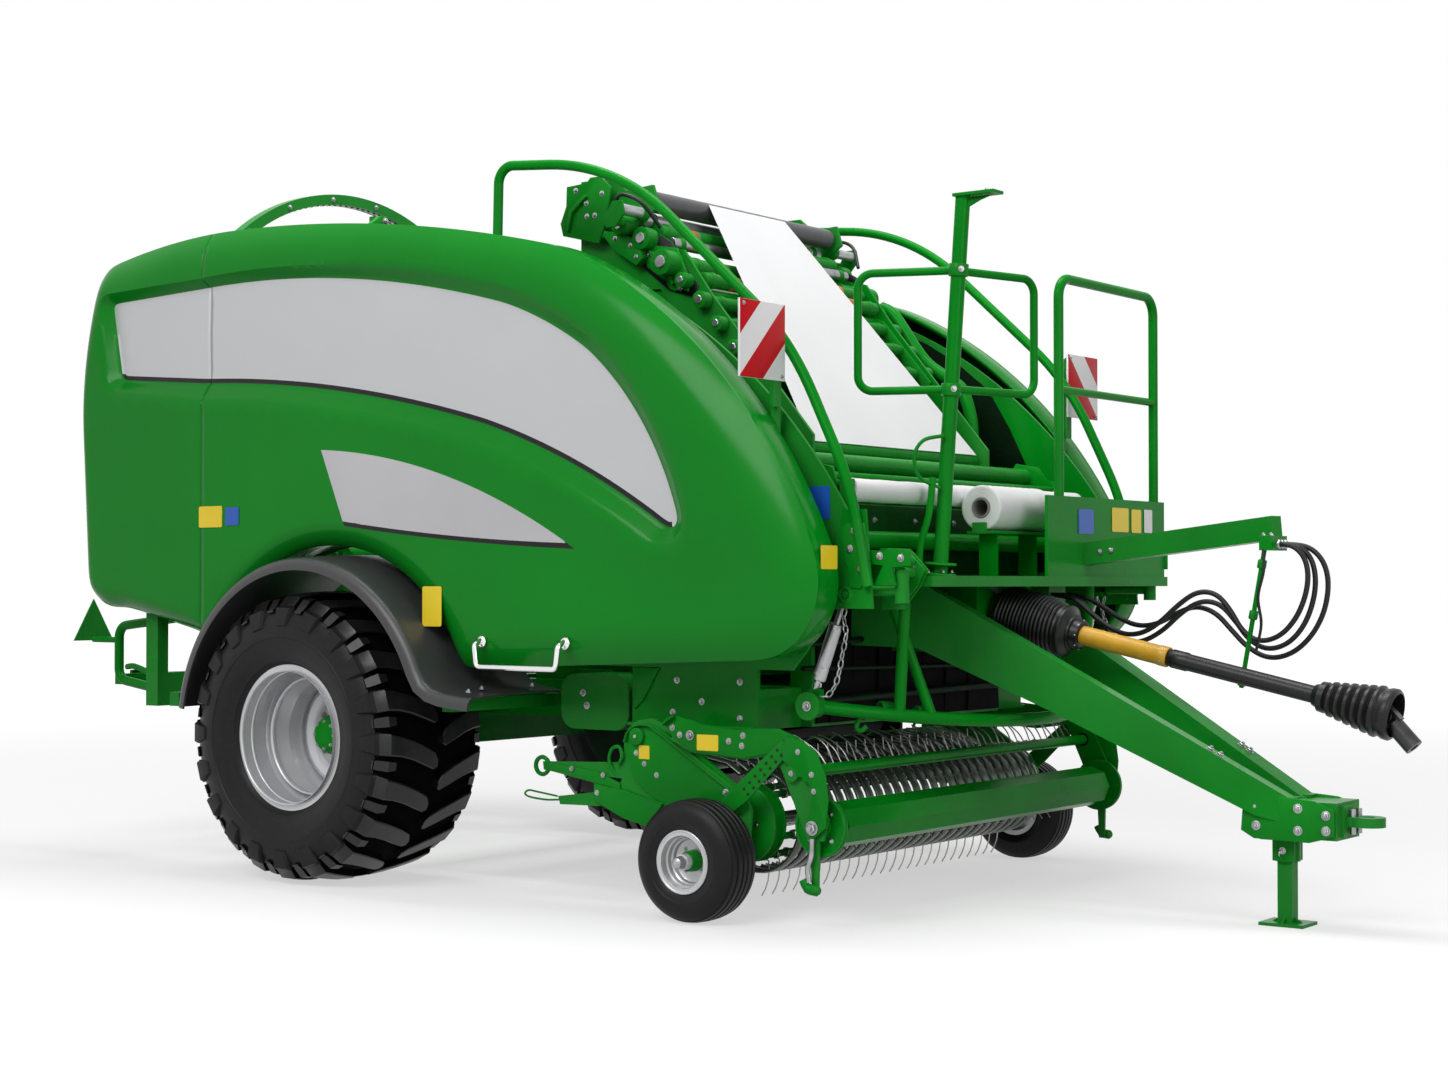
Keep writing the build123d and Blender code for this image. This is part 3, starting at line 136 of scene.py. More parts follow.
PAINT = material("frame_paint", (0.0015, 0.235, 0.0115), 0.27, coat=0.05, vary=0.16, scale=2.5,
                 edge=0.12, dust=0.012, shine=0.04)
BODY = material("body_gloss", (0.0015, 0.235, 0.012), 0.22, coat=0.24, vary=0.06, scale=1.2, bump=0.01,
                grain=60, shine=0.03, coat_rough=0.17)
# dark green for the insides of the skins and for parts in deep shade: the insides are darker than the outside
# paint, and darker still as painted shade
INNER_PAINT_AND_SHADE = material("inner_paint_and_shade", (0.001, 0.055, 0.005), 0.45, vary=0.35, bump=0.1, grain=90,
                  dust=0.04, shine=0.08)
SILVER = material("panel_silver", (0.58, 0.58, 0.6), 0.34, metal=0.25, coat=0.4, vary=0.015, bump=0.01,
                  coat_rough=0.14)
TRIM = material("trim_black", (0.006, 0.006, 0.007), 0.35, bump=0.02, shine=0.25)
DECAL = material("swoosh_grey", (0.52, 0.52, 0.54), 0.35, metal=0.2, coat=0.3, vary=0.05, scale=1.5,
                 bump=0.01)
FENDER = material("fender_plastic", (0.042, 0.042, 0.045), 0.34, vary=0.12, bump=0.12, grain=420, dust=0.04)
RUBBER = material("tyre_rubber", (0.007, 0.007, 0.0075), 0.42, vary=0.3, scale=6, bump=0.15, grain=260,
                  dust=0.03, shine=0.2)
# the lug tops' rubber is lighter than the wall's and the grooves' rubber darker: lit and shaded copies of one
# rubber, a painted highlight on the tops and painted shade in the grooves
LIT_TREAD = material("tyre_tread_lit", (0.0125, 0.0125, 0.013), 0.36, vary=0.35, scale=10, bump=0.15, grain=260,
                 dust=0.05, shine=0.4)
SHADED_GROOVE = material("tyre_groove_shaded", (0.0032, 0.0032, 0.0034), 0.8, vary=0.3, scale=8, bump=0.1, shine=0.02)
RIM = material("rim_paint", (0.6, 0.6, 0.62), 0.3, metal=0.35, coat=0.3, vary=0.07, bump=0.03, dust=0.08)
STEEL = material("bright_steel", (0.36, 0.36, 0.37), 0.34, metal=1.0, vary=0.25, scale=20)
TINE_STEEL = material("tine_steel", (0.38, 0.37, 0.36), 0.3, metal=1.0, vary=0.25, scale=9)
CHROME = material("handle_chrome", (0.8, 0.8, 0.8), 0.12, metal=1.0, vary=0.03, bump=0)
HOSE = material("hose_rubber", (0.008, 0.008, 0.009), 0.42, vary=0.2, scale=12, bump=0.12, grain=500,
                shine=0.3)
BLACK = material("guard_black", (0.009, 0.009, 0.0095), 0.34, vary=0.2, scale=8, bump=0.12, grain=350,
                 dust=0.04, shine=0.3)
YELLOW = material("guard_yellow", (0.62, 0.33, 0.02), vary=0.12, scale=8, bump=0.1, grain=300, dust=0.2)
FILM = material("stretch_film", (0.8, 0.8, 0.81), 0.45, vary=0.015, scale=4, bump=0.02, grain=70, shine=0.3)
CARD = material("roll_core", (0.21, 0.2, 0.19), 0.6, vary=0.15, scale=14, bump=0.2)
ROLLER = material("web_roller", (0.07, 0.07, 0.075), 0.38, vary=0.15, scale=9, bump=0.1)
WHITE = material("board_white", (0.82, 0.82, 0.82), 0.3, vary=0.03, bump=0.12, grain=700)
RED = material("board_red", (0.58, 0.004, 0.01), 0.35, vary=0.06, bump=0.06, grain=700, shine=0.12)
STICKER_Y = material("sticker_yellow", (0.9, 0.66, 0.02), 0.35, vary=0.05, bump=0.03)
STICKER_B = material("sticker_blue", (0.01, 0.1, 0.5), 0.35, vary=0.06, bump=0.03)
RUST = material("worn_orange", (0.45, 0.13, 0.02), 0.6, vary=0.35, scale=14, bump=0.2)
BAND = material("worn_band", (0.1, 0.12, 0.1), 0.3, metal=0.75, vary=0.35, scale=7, bump=0.12, dust=0.1)
WORN = material("worn_steel", (0.3, 0.28, 0.25), 0.35, metal=0.7, vary=0.4, scale=22, bump=0.15)
DARK_STEEL = material("dark_steel", (0.05, 0.05, 0.052), 0.35, metal=0.8, vary=0.3, scale=12, bump=0.15)
# near-black green: the frame's paint as it looks in deep shade, painted shade for parts that stand in shadow
PAINTED_SHADE = material("shaded_paint", (0.0015, 0.012, 0.003), 0.5, vary=0.5, scale=6, bump=0.1, dust=0.02,
                shine=0.08)
# near-black rubber for the strip curtain, darker than rubber alone: painted shade for the dark space behind
# the guard bar
SHADE_FLAP = material("shade_curtain_rubber", (0.003, 0.003, 0.0032), 0.7, vary=0.3, scale=9, bump=0.2, shine=0.05)

FINISHES = {
    "frame_green": PAINT, "body_green": BODY, "fender_grey": FENDER, "tyre": RUBBER, "rim_silver": RIM,
    "handle_steel": CHROME, "hose_rubber": HOSE, "guard_black": BLACK, "guard_yellow": YELLOW,
    "film_white": FILM, "bright_steel": STEEL, "roller_dark": ROLLER, "board_white": WHITE,
    "reflector_red": RED,
}
OWN_FINISH = {"reflectors": PAINT, "pto_shaft": DARK_STEEL}
for part in frame["record"]["subparts"]:
    name = part["node"]
    mesh = NODES[name].data
    mesh.materials.clear()
    mesh.materials.append(OWN_FINISH.get(name, FINISHES[part["material_slot"]]))


# ---- mesh building ----
def smooth_path(points, count=6):
    """Rounds a run of points with a Catmull curve."""
    pts = [points[0] * 2 - points[1]] + points + [points[-1] * 2 - points[-2]]
    out = []
    for i in range(1, len(pts) - 2):
        a, b, c, d = pts[i - 1:i + 3]
        for t in (k / count for k in range(count)):
            out.append(0.5 * ((2 * b) + (c - a) * t + (2 * a - 5 * b + 4 * c - d) * t * t
                              + (3 * b - a - 3 * c + d) * t ** 3))
    out.append(pts[-2])
    return out


class Shape:
    """A mesh grown from simple solids, each with its own material number.

    A place is a Vector, or an (x, y, z) tuple from the axle and the ground whose y runs outwards on
    the shape's side. A direction is a Vector or a tuple in the same way.
    """

    def __init__(self, side=1):
        self.bm = bmesh.new()
        self.side = side

    def at(self, p):
        return p if isinstance(p, Vector) else place(p[0], self.side * p[1], p[2])

    def way(self, v):
        v = v if isinstance(v, Vector) else Vector((v[0], self.side * v[1], v[2]))
        return v.normalized()

    def add(self, points, faces, mat=0):
        verts = [self.bm.verts.new(p) for p in points]
        made = []
        for f in faces:
            face = self.bm.faces.new([verts[i] for i in f])
            face.material_index = mat
            made.append(face)
        return made

    def strip(self, rings, mat=0, closed=True, caps=True, loop=False):
        """Skins a list of rings of points."""
        n, count = len(rings[0]), len(rings)
        faces = []
        for a in range(count if loop else count - 1):
            b = (a + 1) % count
            for j in range(n if closed else n - 1):
                k = (j + 1) % n
                faces.append((a * n + j, b * n + j, b * n + k, a * n + k))
        if caps and not loop and closed:
            faces.append(tuple(reversed(range(n))))
            faces.append(tuple(range((count - 1) * n, count * n)))
        return self.add([p for ring in rings for p in ring], faces, mat)

    def sweep(self, line, section):
        """Runs a section of (y, height) pairs along an (x, z) line, whose heights stand square to it."""
        rings = []
        for i, (x, z) in enumerate(line):
            before, after = line[max(0, i - 1)], line[min(len(line) - 1, i + 1)]
            way = Vector((after[0] - before[0], 0, after[1] - before[1])).normalized()
            out = Vector((-way.z, 0, way.x))
            rings.append([self.at((x, y, z)) + out * d for y, d in section])
        self.strip(rings)

    def tube(self, points, radius, sides=12, mat=0, loop=False):
        """A round tube along points; radius is a number or one per point."""
        pts = [self.at(p) for p in points]
        radii = radius if isinstance(radius, list) else [radius] * len(pts)
        side = None
        rings = []
        for i, p in enumerate(pts):
            before = pts[i - 1] if i or loop else p
            after = pts[(i + 1) % len(pts)] if i + 1 < len(pts) or loop else p
            way = (after - before).normalized()
            if side is None:
                side = way.orthogonal().normalized()
            side = (side - way * side.dot(way)).normalized()
            up = way.cross(side)
            rings.append([p + (side * c + up * s) * radii[i] for c, s in circle(sides)])
        self.strip(rings, mat, loop=loop)

    def pipe(self, points, radius, sides=12, mat=0, count=6):
        """A tube along a rounded run of points."""
        self.tube(smooth_path([self.at(p) for p in points], count), radius, sides, mat)

    def lathe(self, profile, origin, axis, sides=48, mat=0, loop=False):
        """Turns (distance along, radius) pairs about an axis."""
        origin, axis = self.at(origin), self.way(axis)
        side = axis.orthogonal().normalized()
        up = axis.cross(side)
        rings = [[origin + axis * d + (side * c + up * s) * max(r, 0.0001) for c, s in circle(sides)]
                 for d, r in profile]
        return self.strip(rings, mat, caps=False, loop=loop)

    def rod(self, origin, axis, radius, length, sides, mat=0):
        """A plain round rod with flat ends."""
        self.lathe([(0, 0), (0, radius), (length, radius), (length, 0)], origin, axis, sides, mat)

    def prism(self, corners, out, thick, mat=0, bevel=0.0):
        """A flat plate: its corners in order, pushed along out by thick."""
        low = [self.at(c) for c in corners]
        n = len(low)
        high = [c + self.way(out) * thick for c in low]
        faces = [tuple(reversed(range(n))), tuple(range(n, 2 * n))]
        faces += [(i, (i + 1) % n, n + (i + 1) % n, n + i) for i in range(n)]
        made = self.add(low + high, faces, mat)
        if bevel:
            edges = list({e for f in made for e in f.edges})
            bmesh.ops.bevel(self.bm, geom=edges, offset=bevel, segments=2, affect="EDGES",
                            profile=0.5, clamp_overlap=True)

    def plate(self, corners, y, thick, mat=0, bevel=0.002):
        """A plate standing on one side: (x, z) corners, how far out its inner face is, its thickness."""
        self.prism([(x, y, z) for x, z in corners], OUT, thick, mat, bevel)

    def box(self, low, high, mat=0, bevel=0.002):
        """A block between two opposite corners, both given from the axle."""
        (x0, y0, z0), (x1, y1, z1) = low, high
        y0, y1 = sorted((self.side * y0, self.side * y1))
        corners = [place(x, y, z0) for x, y in ((x0, y0), (x1, y0), (x1, y1), (x0, y1))]
        self.prism(corners, UP, z1 - z0, mat, bevel)

    def bar(self, x, z, y0, y1, radius, mat=0, sides=20):
        """A round bar across the machine with rounded ends."""
        y0, y1 = sorted((self.side * y0, self.side * y1))
        length, end = y1 - y0, radius * 0.86
        self.lathe([(0, 0), (0, end), (0.003, radius), (length - 0.003, radius), (length, end), (length, 0)],
                   place(x, y0, z), ACROSS, sides, mat)

    def bolt(self, point, normal=OUT, size=0.012, mat=1):
        """A washer, a hexagon head and the end of the thread."""
        for sides, profile in (
                (14, ((0, 1.35), (0.2, 1.35), (0.25, 1.2), (0.25, 0))),
                (6, ((0, 1), (0.75, 1), (0.9, 0.85), (0.9, 0))),
                (10, ((0, 0.5), (1.3, 0.5), (1.4, 0.4), (1.4, 0)))):
            self.lathe([(d * size, r * size) for d, r in profile], point, normal, sides, mat)

    def bolts(self, spots, y, size=0.009):
        """Bolts at (x, z) spots, on a face that looks outwards."""
        for x, z in spots:
            self.bolt((x, y, z), OUT, size)

    def bolt_ring(self, centre, radius, count, size, start=0.0, mat=1):
        """Bolts in a circle, on a face that looks outwards."""
        for c, s in circle(count, radius, start):
            self.bolt((centre[0] + c, centre[1], centre[2] + s), OUT, size, mat)

    def hoop(self, centre, axis, radius, wire, mat=0, around=28, sides=8):
        """A closed round ring of wire."""
        centre, axis = self.at(centre), self.way(axis)
        a = axis.orthogonal().normalized()
        b = axis.cross(a)
        self.tube([centre + (a * c + b * s) * radius for c, s in circle(around)], wire, sides, mat, loop=True)

    def make(self, name, body="chassis", materials=(PAINT, STEEL), slot="frame_green", sharp=40,
             stands_for=None, keep_normals=False):
        """The finished piece, riding on a body, and in place of a CAD node if one is named."""
        bmesh.ops.remove_doubles(self.bm, verts=self.bm.verts, dist=1e-6)
        if not keep_normals:
            bmesh.ops.recalc_face_normals(self.bm, faces=self.bm.faces)
        for f in self.bm.faces:
            f.smooth = True
        data = bpy.data.meshes.new(name)
        self.bm.to_mesh(data)
        self.bm.free()
        data.set_sharp_from_angle(angle=math.radians(sharp))
        for m in materials:
            data.materials.append(m)
        piece = bpy.data.objects.new(name, data)
        scene.collection.objects.link(piece)
        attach(piece, body)
        if stands_for:
            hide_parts(stands_for)
        return piece


def arc3(a, b, c, count):
    """Points on the circle through three points of a plane, from a to c."""
    (ax, az), (bx, bz), (cx, cz) = a, b, c
    d = 2 * (ax * (bz - cz) + bx * (cz - az) + cx * (az - bz))
    if abs(d) < 1e-9:
        return [(ax + (cx - ax) * i / count, az + (cz - az) * i / count) for i in range(count + 1)]
    sa, sb, sc = ax * ax + az * az, bx * bx + bz * bz, cx * cx + cz * cz
    ux = (sa * (bz - cz) + sb * (cz - az) + sc * (az - bz)) / d
    uz = (sa * (cx - bx) + sb * (ax - cx) + sc * (bx - ax)) / d
    r = math.hypot(ax - ux, az - uz)
    t0, t1, t2 = (math.atan2(z - uz, x - ux) for x, z in (a, b, c))
    turn = (t2 - t0) % (2 * math.pi)
    if (t1 - t0) % (2 * math.pi) > turn:
        turn -= 2 * math.pi
    return [(ux + r * math.cos(t0 + turn * i / count), uz + r * math.sin(t0 + turn * i / count))
            for i in range(count + 1)]


def dense(rows, step, passes=0):
    """Evenly spaced [x, z, width] round an outline of corners and arcs, with its corners softened."""
    out, last, i, n = [], rows[0], 1, len(rows)
    while i <= n:
        row = rows[i % n]
        bent = row[-1] == "via"
        end = rows[(i + 1) % n] if bent else row
        total = math.dist(last[:2], row[:2]) + math.dist(row[:2], end[:2])
        count = max(2 if bent else 1, round(total / step))
        if bent:
            line = arc3(last[:2], row[:2], end[:2], count)
        for k in range(count):
            spot = [last[j] + (end[j] - last[j]) * k / count for j in range(3)]
            out.append([*line[k], spot[2]] if bent else spot)
        last = end
        i += 2 if bent else 1
    for _ in range(passes):
        m = len(out)
        out = [[
            (out[k - 1][j] + 2 * out[k][j] + out[(k + 1) % m][j]) / 4 for j in range(3)] for k in range(m)]
    return out


def inside(polygon, x, z):
    """Whether a point is in a closed outline."""
    hit = False
    for i, (ax, az, *_) in enumerate(polygon):
        bx, bz = polygon[i - 1][:2]
        if (az > z) != (bz > z) and x < (bx - ax) * (z - az) / (bz - az) + ax:
            hit = not hit
    return hit


def offset(points, distance):
    """A closed outline moved sideways (inwards for a positive distance on this file's outlines)."""
    area = sum(points[i - 1][0] * p[1] - p[0] * points[i - 1][1] for i, p in enumerate(points))
    sign = 1 if area > 0 else -1
    out = []
    for i, p in enumerate(points):
        before, after = points[i - 1], points[(i + 1) % len(points)]
        way = Vector((after[0] - before[0], after[1] - before[1])).normalized()
        d = sign * (distance(p) if callable(distance) else distance)
        out.append([p[0] - way.y * d, p[1] + way.x * d, p[2]])
    return out


def near(tree_points):
    """A search tree over points of the side view."""
    tree = kdtree.KDTree(len(tree_points))
    for i, p in enumerate(tree_points):
        tree.insert((p[0], p[1], 0), i)
    tree.balance()
    return tree


# ---- hydraulic hoses ----
HOSE_DIAMETER = 0.02
HOSES = {
    "hose_front": (1.635, [
        (2.68, 0.222, 1.205), (2.77, 0.222, 1.205), (2.885, 0.214, 1.112), (2.995, 0.198, 1.052),
        (3.1, 0.165, 1.052), (3.19, 0.15, 1.098), (3.27, 0.146, 1.17), (3.35, 0.144, 1.222),
        (3.43, 0.142, 1.215), (3.49, 0.138, 1.15), (3.535, 0.132, 1.075), (3.605, 0.126, 1.03),
        (3.69, 0.122, 1.05), (3.755, 0.12, 1.115), (3.795, 0.118, 1.2), (3.808, 0.118, 1.28),
        (3.795, 0.118, 1.345), (3.76, 0.118, 1.385), (3.722, 0.118, 1.398), (3.69, 0.118, 1.398),
    ]),
    "hose_back": (1.7, [
        (2.68, 0.267, 1.205), (2.762, 0.267, 1.205), (2.868, 0.256, 1.108), (2.985, 0.214, 1.018),
        (3.095, 0.186, 1.02), (3.19, 0.176, 1.066), (3.268, 0.174, 1.138), (3.35, 0.172, 1.186),
        (3.432, 0.17, 1.176), (3.498, 0.166, 1.108), (3.55, 0.16, 1.04), (3.625, 0.154, 1.0),
        (3.712, 0.15, 1.022), (3.778, 0.148, 1.092), (3.815, 0.148, 1.185), (3.825, 0.148, 1.272),
        (3.808, 0.148, 1.345), (3.768, 0.148, 1.386), (3.726, 0.148, 1.398), (3.69, 0.148, 1.398),
    ]),
    "hose_loop": (1.715, [
        (2.68, 0.312, 1.205), (2.765, 0.312, 1.205), (2.86, 0.3, 1.165), (2.955, 0.275, 1.112),
        (3.05, 0.248, 1.082), (3.145, 0.232, 1.092), (3.23, 0.222, 1.138), (3.315, 0.214, 1.166),
        (3.398, 0.208, 1.14), (3.462, 0.204, 1.075), (3.53, 0.198, 1.008), (3.618, 0.192, 0.965),
        (3.712, 0.188, 0.985), (3.79, 0.184, 1.05), (3.842, 0.182, 1.14), (3.862, 0.18, 1.24),
        (3.85, 0.178, 1.32), (3.808, 0.178, 1.375), (3.75, 0.178, 1.398), (3.69, 0.178, 1.398),
    ]),
}
for name, (length, route) in HOSES.items():
    data = bpy.data.curves.new(name + "_cord", "CURVE")
    data.dimensions = "3D"
    data.bevel_depth = HOSE_DIAMETER / 2
    data.bevel_resolution = 5
    data.resolution_u = 8
    spline = data.splines.new("NURBS")
    spline.points.add(len(route) - 1)
    for spot, point in zip(spline.points, route):
        spot.co = (*place(*point), 1)
    spline.order_u = 3
    spline.use_endpoint_u = True
    data.materials.append(HOSE)
    cord = bpy.data.objects.new(name + "_cord", data)
    scene.collection.objects.link(cord)
    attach(cord, "chassis")
    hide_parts(name)

# ---- body panels ----
SIDE_ROWS = [
    (-1.48, 1.23, 0.09, "corner"), (-1.52, 2.0, 0.07, "corner"), (-1.5, 2.34, 0.075, "via"),
    (-1.44, 2.59, 0.11, "corner"), (-1.4, 2.672, 0.15, "via"), (-1.31, 2.708, 0.175, "corner"),
    (-0.96, 2.765, 0.18, "via"), (-0.6, 2.79, 0.18, "corner"), (0.4, 2.733, 0.18, "via"),
    (1.32, 2.565, 0.18, "corner"), (2.03, 2.115, 0.185, "via"), (2.545, 1.34, 0.19, "corner"),
    (2.51, 1.1, 0.19, "via"), (2.33, 0.975, 0.18, "corner"), (0.842, 0.912, 0.15, "corner"),
    (0.1, 1.412, 0.02, "via"), (-0.6, 1.0, 0.06, "corner"), (-0.76, 1.05, 0.08, "corner"),
    (-1.24, 1.15, 0.09, "corner"), (-1.42, 1.175, 0.1, "via"),
]
RECESS_ROWS = [
    (-1.32, 2.525, 0.04, "corner"), (-1.25, 2.175, 0.06, "corner"), (-0.67, 2.13, 0.08, "corner"),
    (0.008, 2.075, 0.085, "via"), (0.948, 1.89, 0.085, "corner"), (1.465, 1.692, 0.085, "via"),
    (1.88, 1.46, 0.08, "corner"), (1.924, 1.464, 0.072, "via"), (1.93, 1.5, 0.068, "corner"),
    (1.775, 1.839, 0.075, "via"), (1.498, 2.146, 0.075, "corner"), (1.261, 2.281, 0.072, "via"),
    (1.06, 2.36, 0.07, "corner"),
    (0.2, 2.522, 0.045, "via"), (-0.67, 2.55, 0.035, "corner"),
]
SWOOSH = [
    (0.095, 1.808, 0, "corner"), (0.78, 1.688, 0, "via"), (1.47, 1.383, 0, "corner"),
    (0.89, 1.419, 0, "via"), (0.232, 1.489, 0, "corner"),
]
SWOOSH_FOOT = arc3((0.2262, 1.508), (0.89, 1.437), (1.424, 1.4062), 60)
SEAM_X = -0.655
LIP_Y, CREST_Y, FACE_Y = 1.13, 1.27, 1.335  # the skin's inner edge, the roll's top and the flat
RECESS_DEPTH, RECESS_RISE, SKIN, SEAM_GAP = 0.055, 0.006, 0.022, 0.003
PLAIN, STRIPE, DARK, GREY, INNER = range(5)  # the fields, in the order of the panel's materials
edge_line = dense(SIDE_ROWS, 0.018, passes=14)
floor_line = dense(RECESS_ROWS, 0.014, passes=5)
rim_line = offset(floor_line, lambda p: -p[2])
stripe_line = offset(floor_line, 0.02)
swoosh_line = dense(SWOOSH, 0.02)
edge_tree = near(edge_line)
floor_tree = near(floor_line)


def panel_depth(x, z):
    """How far out the side's surface stands at a point of the side view."""
    _, i, d = edge_tree.find((x, z, 0))
    u = min(1.0, d / max(edge_line[i][2], 0.02))
    y = CREST_Y + (FACE_Y - CREST_Y) * (1 - (1 - u) ** 2.1)
    _, i, d = floor_tree.find((x, z, 0))
    if inside(floor_line, x, z):
        y -= RECESS_DEPTH - RECESS_RISE * min(1, d / 0.25)
    elif d < floor_line[i][2]:
        y -= RECESS_DEPTH * (1 - d / floor_line[i][2])
    # a long shallow hollow under the silver field, above the handle
    t = math.exp(-(((x - 1.55) / 0.75) ** 2) - ((z - 1.33 + 0.18 * (x - 1.5)) / 0.16) ** 2)
    y -= 0.012 * t * min(1, u)
    return y


def side_surface():
    """Points and triangles of the side in its own plane, with the number of each triangle's field."""
    loops = [edge_line, floor_line, rim_line, stripe_line, swoosh_line]
    points, edges = [], []
    for loop in loops:
        base = len(points)
        points += [Vector(p[:2]) for p in loop]
        edges += [(base + i, base + (i + 1) % len(loop)) for i in range(len(loop))]
    base = len(points)
    points += [Vector(p) for p in SWOOSH_FOOT]
    edges += [(base + i, base + i + 1) for i in range(len(SWOOSH_FOOT) - 1)]
    taken = near([(p.x, p.y) for p in points])
    for share in (0.06, 0.14, 0.24, 0.36, 0.5, 0.66, 0.84, 1.0):
        for p in offset(edge_line, lambda q: q[2] * share)[:: 1 if share < 0.3 else 2]:
            spot = (p[0], p[1], 0)
            if (inside(edge_line, p[0], p[1]) and edge_tree.find(spot)[2] >= p[2] * share * 0.93
                    and taken.find(spot)[2] > 0.006):
                points.append(Vector(p[:2]))
    for share in (0.25, 0.5, 0.75):
        for p in offset(floor_line, lambda q: -q[2] * share):
            if taken.find((p[0], p[1], 0))[2] > 0.005:
                points.append(Vector(p[:2]))
    taken = near([(p.x, p.y) for p in points])
    step = 0.045
    for i in range(-36, 60):
        for j in range(18, 64):
            x, z = i * step, j * step + (step / 2 if i % 2 else 0)
            if inside(edge_line, x, z) and taken.find((x, z, 0))[2] > step * 0.6:
                points.append(Vector((x, z)))
    verts, _, faces, *_ = geometry.delaunay_2d_cdt(points, edges, [], 0, 1e-5)
    kept = []
    for f in faces:
        x = sum(verts[i].x for i in f) / 3
        z = sum(verts[i].y for i in f) / 3
        if not inside(edge_line, x, z):
            continue
        field = PLAIN
        if inside(floor_line, x, z):
            field = STRIPE
            if not inside(stripe_line, x, z):
                # the dark line runs along the recess's lower and front edges only
                edge_x, edge_z, _ = floor_tree.find((x, z, 0))[0]
                top = 2.34 - 0.28 * max(0, edge_x) ** 1.2 if edge_x < 1.81 else 2.227 - 0.4 * edge_x
                field = DARK if edge_x > -1.2505 and edge_z < top else STRIPE
        elif inside(swoosh_line, x, z):
            foot = min(SWOOSH_FOOT, key=lambda p: abs(p[0] - x))
            field = GREY if z > foot[1] and x < SWOOSH_FOOT[-1][0] else DARK
        kept.append((tuple(f), field))
    return verts, kept


SIDE_VERTS, SIDE_FACES = side_surface()


def panel(name, side, body, low_x, high_x):
    """One side's skin between two lengthwise limits, as a closed shell."""
    shape = Shape(side)
    bm = shape.bm
    points = [shape.at((v.x, panel_depth(v.x, v.y), v.y)) for v in SIDE_VERTS]
    used = {}
    for f, field in SIDE_FACES:
        for i in f:
            if i not in used:
                used[i] = bm.verts.new(points[i])
        face = bm.faces.new([used[i] for i in (f if side > 0 else f[::-1])])
        face.material_index = field
    rings = [[shape.at((p[0], y, p[1])) for p in offset(edge_line, inset)] for inset, y in (
        (0, CREST_Y), (0.002, CREST_Y - 0.012), (0, CREST_Y - 0.03), (0, LIP_Y + 0.01), (0.006, LIP_Y))]
    shape.strip(rings, caps=False)
    bmesh.ops.remove_doubles(bm, verts=bm.verts, dist=2e-5)
    for x, outer in ((low_x, False), (high_x, True)):
        if x is None:
            continue
        bmesh.ops.bisect_plane(bm, geom=bm.verts[:] + bm.edges[:] + bm.faces[:], plane_co=(x - MIDDLE, 0, 0),
                               plane_no=AHEAD, clear_outer=outer, clear_inner=not outer)
    loose = [v for v in bm.verts if not v.link_faces]
    bmesh.ops.delete(bm, geom=loose, context="VERTS")
    bmesh.ops.recalc_face_normals(bm, faces=bm.faces)
    if max(bm.faces, key=lambda f: f.calc_area()).normal.y * side < 0:
        bmesh.ops.reverse_faces(bm, faces=bm.faces)
    piece = shape.make(name, body, [BODY, SILVER, TRIM, DECAL, INNER_PAINT_AND_SHADE], "body_green", 50, keep_normals=True)
    thick = piece.modifiers.new("skin", "SOLIDIFY")
    thick.thickness = SKIN
    thick.offset = -1
    thick.use_even_offset = False
    # the skin's inside takes the dark inner paint, partly painted shade for the shaded inside of the hood
    thick.material_offset = INNER
    return piece


def apply_modifiers(piece):
    """Keeps the mesh that the modifiers give."""
    graph = bpy.context.evaluated_depsgraph_get()
    data = bpy.data.meshes.new_from_object(piece.evaluated_get(graph))
    piece.modifiers.clear()
    piece.data = data


for word, side in SIDES:
    door = panel(word + "_door_skin", side, word + "_door", SEAM_X + SEAM_GAP, None)
    apply_modifiers(door)
    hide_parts(word + "_door")
    shell = panel(word + "_rear_skin", side, "chassis", None, SEAM_X - SEAM_GAP)
    apply_modifiers(shell)
    if side < 0:
        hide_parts("rear_shells")

# ---- road wheels ----
TYRE_R, TREAD_BASE, AXLE_Y = 0.6115, 0.577, 1.15
LUG_PAIRS = 20
DISH_Y = 1.11


def wheel_point(side, y, r, angle):
    """A point of a road wheel: y outwards from its middle, radius, and angle about the axle."""
    return place(r * math.cos(angle), side * (AXLE_Y + y), TYRE_R + r * math.sin(angle))


def tread_top(y):
    """The radius of the tread's outside at a distance from its middle."""
    t = abs(y)
    return TYRE_R - 0.001 - 0.024 * (t / 0.265) ** 2 - max(0, t - 0.262) * 1.05


LUG_ROWS = (  # how far out, turn about the axle, half width; over the shoulder also its top and root radius
    (0.012, 0.0, 0.016), (0.03, 0.018, 0.036), (0.09, 0.062, 0.04), (0.15, 0.1, 0.04), (0.21, 0.128, 0.042),
    (0.262, 0.142, 0.046), (0.292, 0.148, 0.05), (0.312, 0.15, 0.05, 0.541, 0.5),
    (0.3215, 0.151, 0.044, 0.505, 0.46), (0.3235, 0.152, 0.036, 0.468, 0.45))
TYRE_HALF = [  # how far out and the radius, from the tread's middle to the bead
    (0.0, TREAD_BASE), (0.12, 0.575), (0.21, 0.567), (0.265, 0.552), (0.295, 0.528), (0.311, 0.492),
    (0.319, 0.455), (0.3205, 0.43), (0.322, 0.428), (0.322, 0.418), (0.318, 0.414), (0.314, 0.385),
    (0.305, 0.352), (0.293, 0.332), (0.291, 0.322), (0.281, 0.316), (0.271, 0.306), (0.265, 0.29)]
TYRE_SIDES = 144
# lug tops take a painted highlight, groove floors and lug sides painted shade
LIT_TOP, SHADED_BOTTOM = 1, 2  # the tread's materials, after the wall's

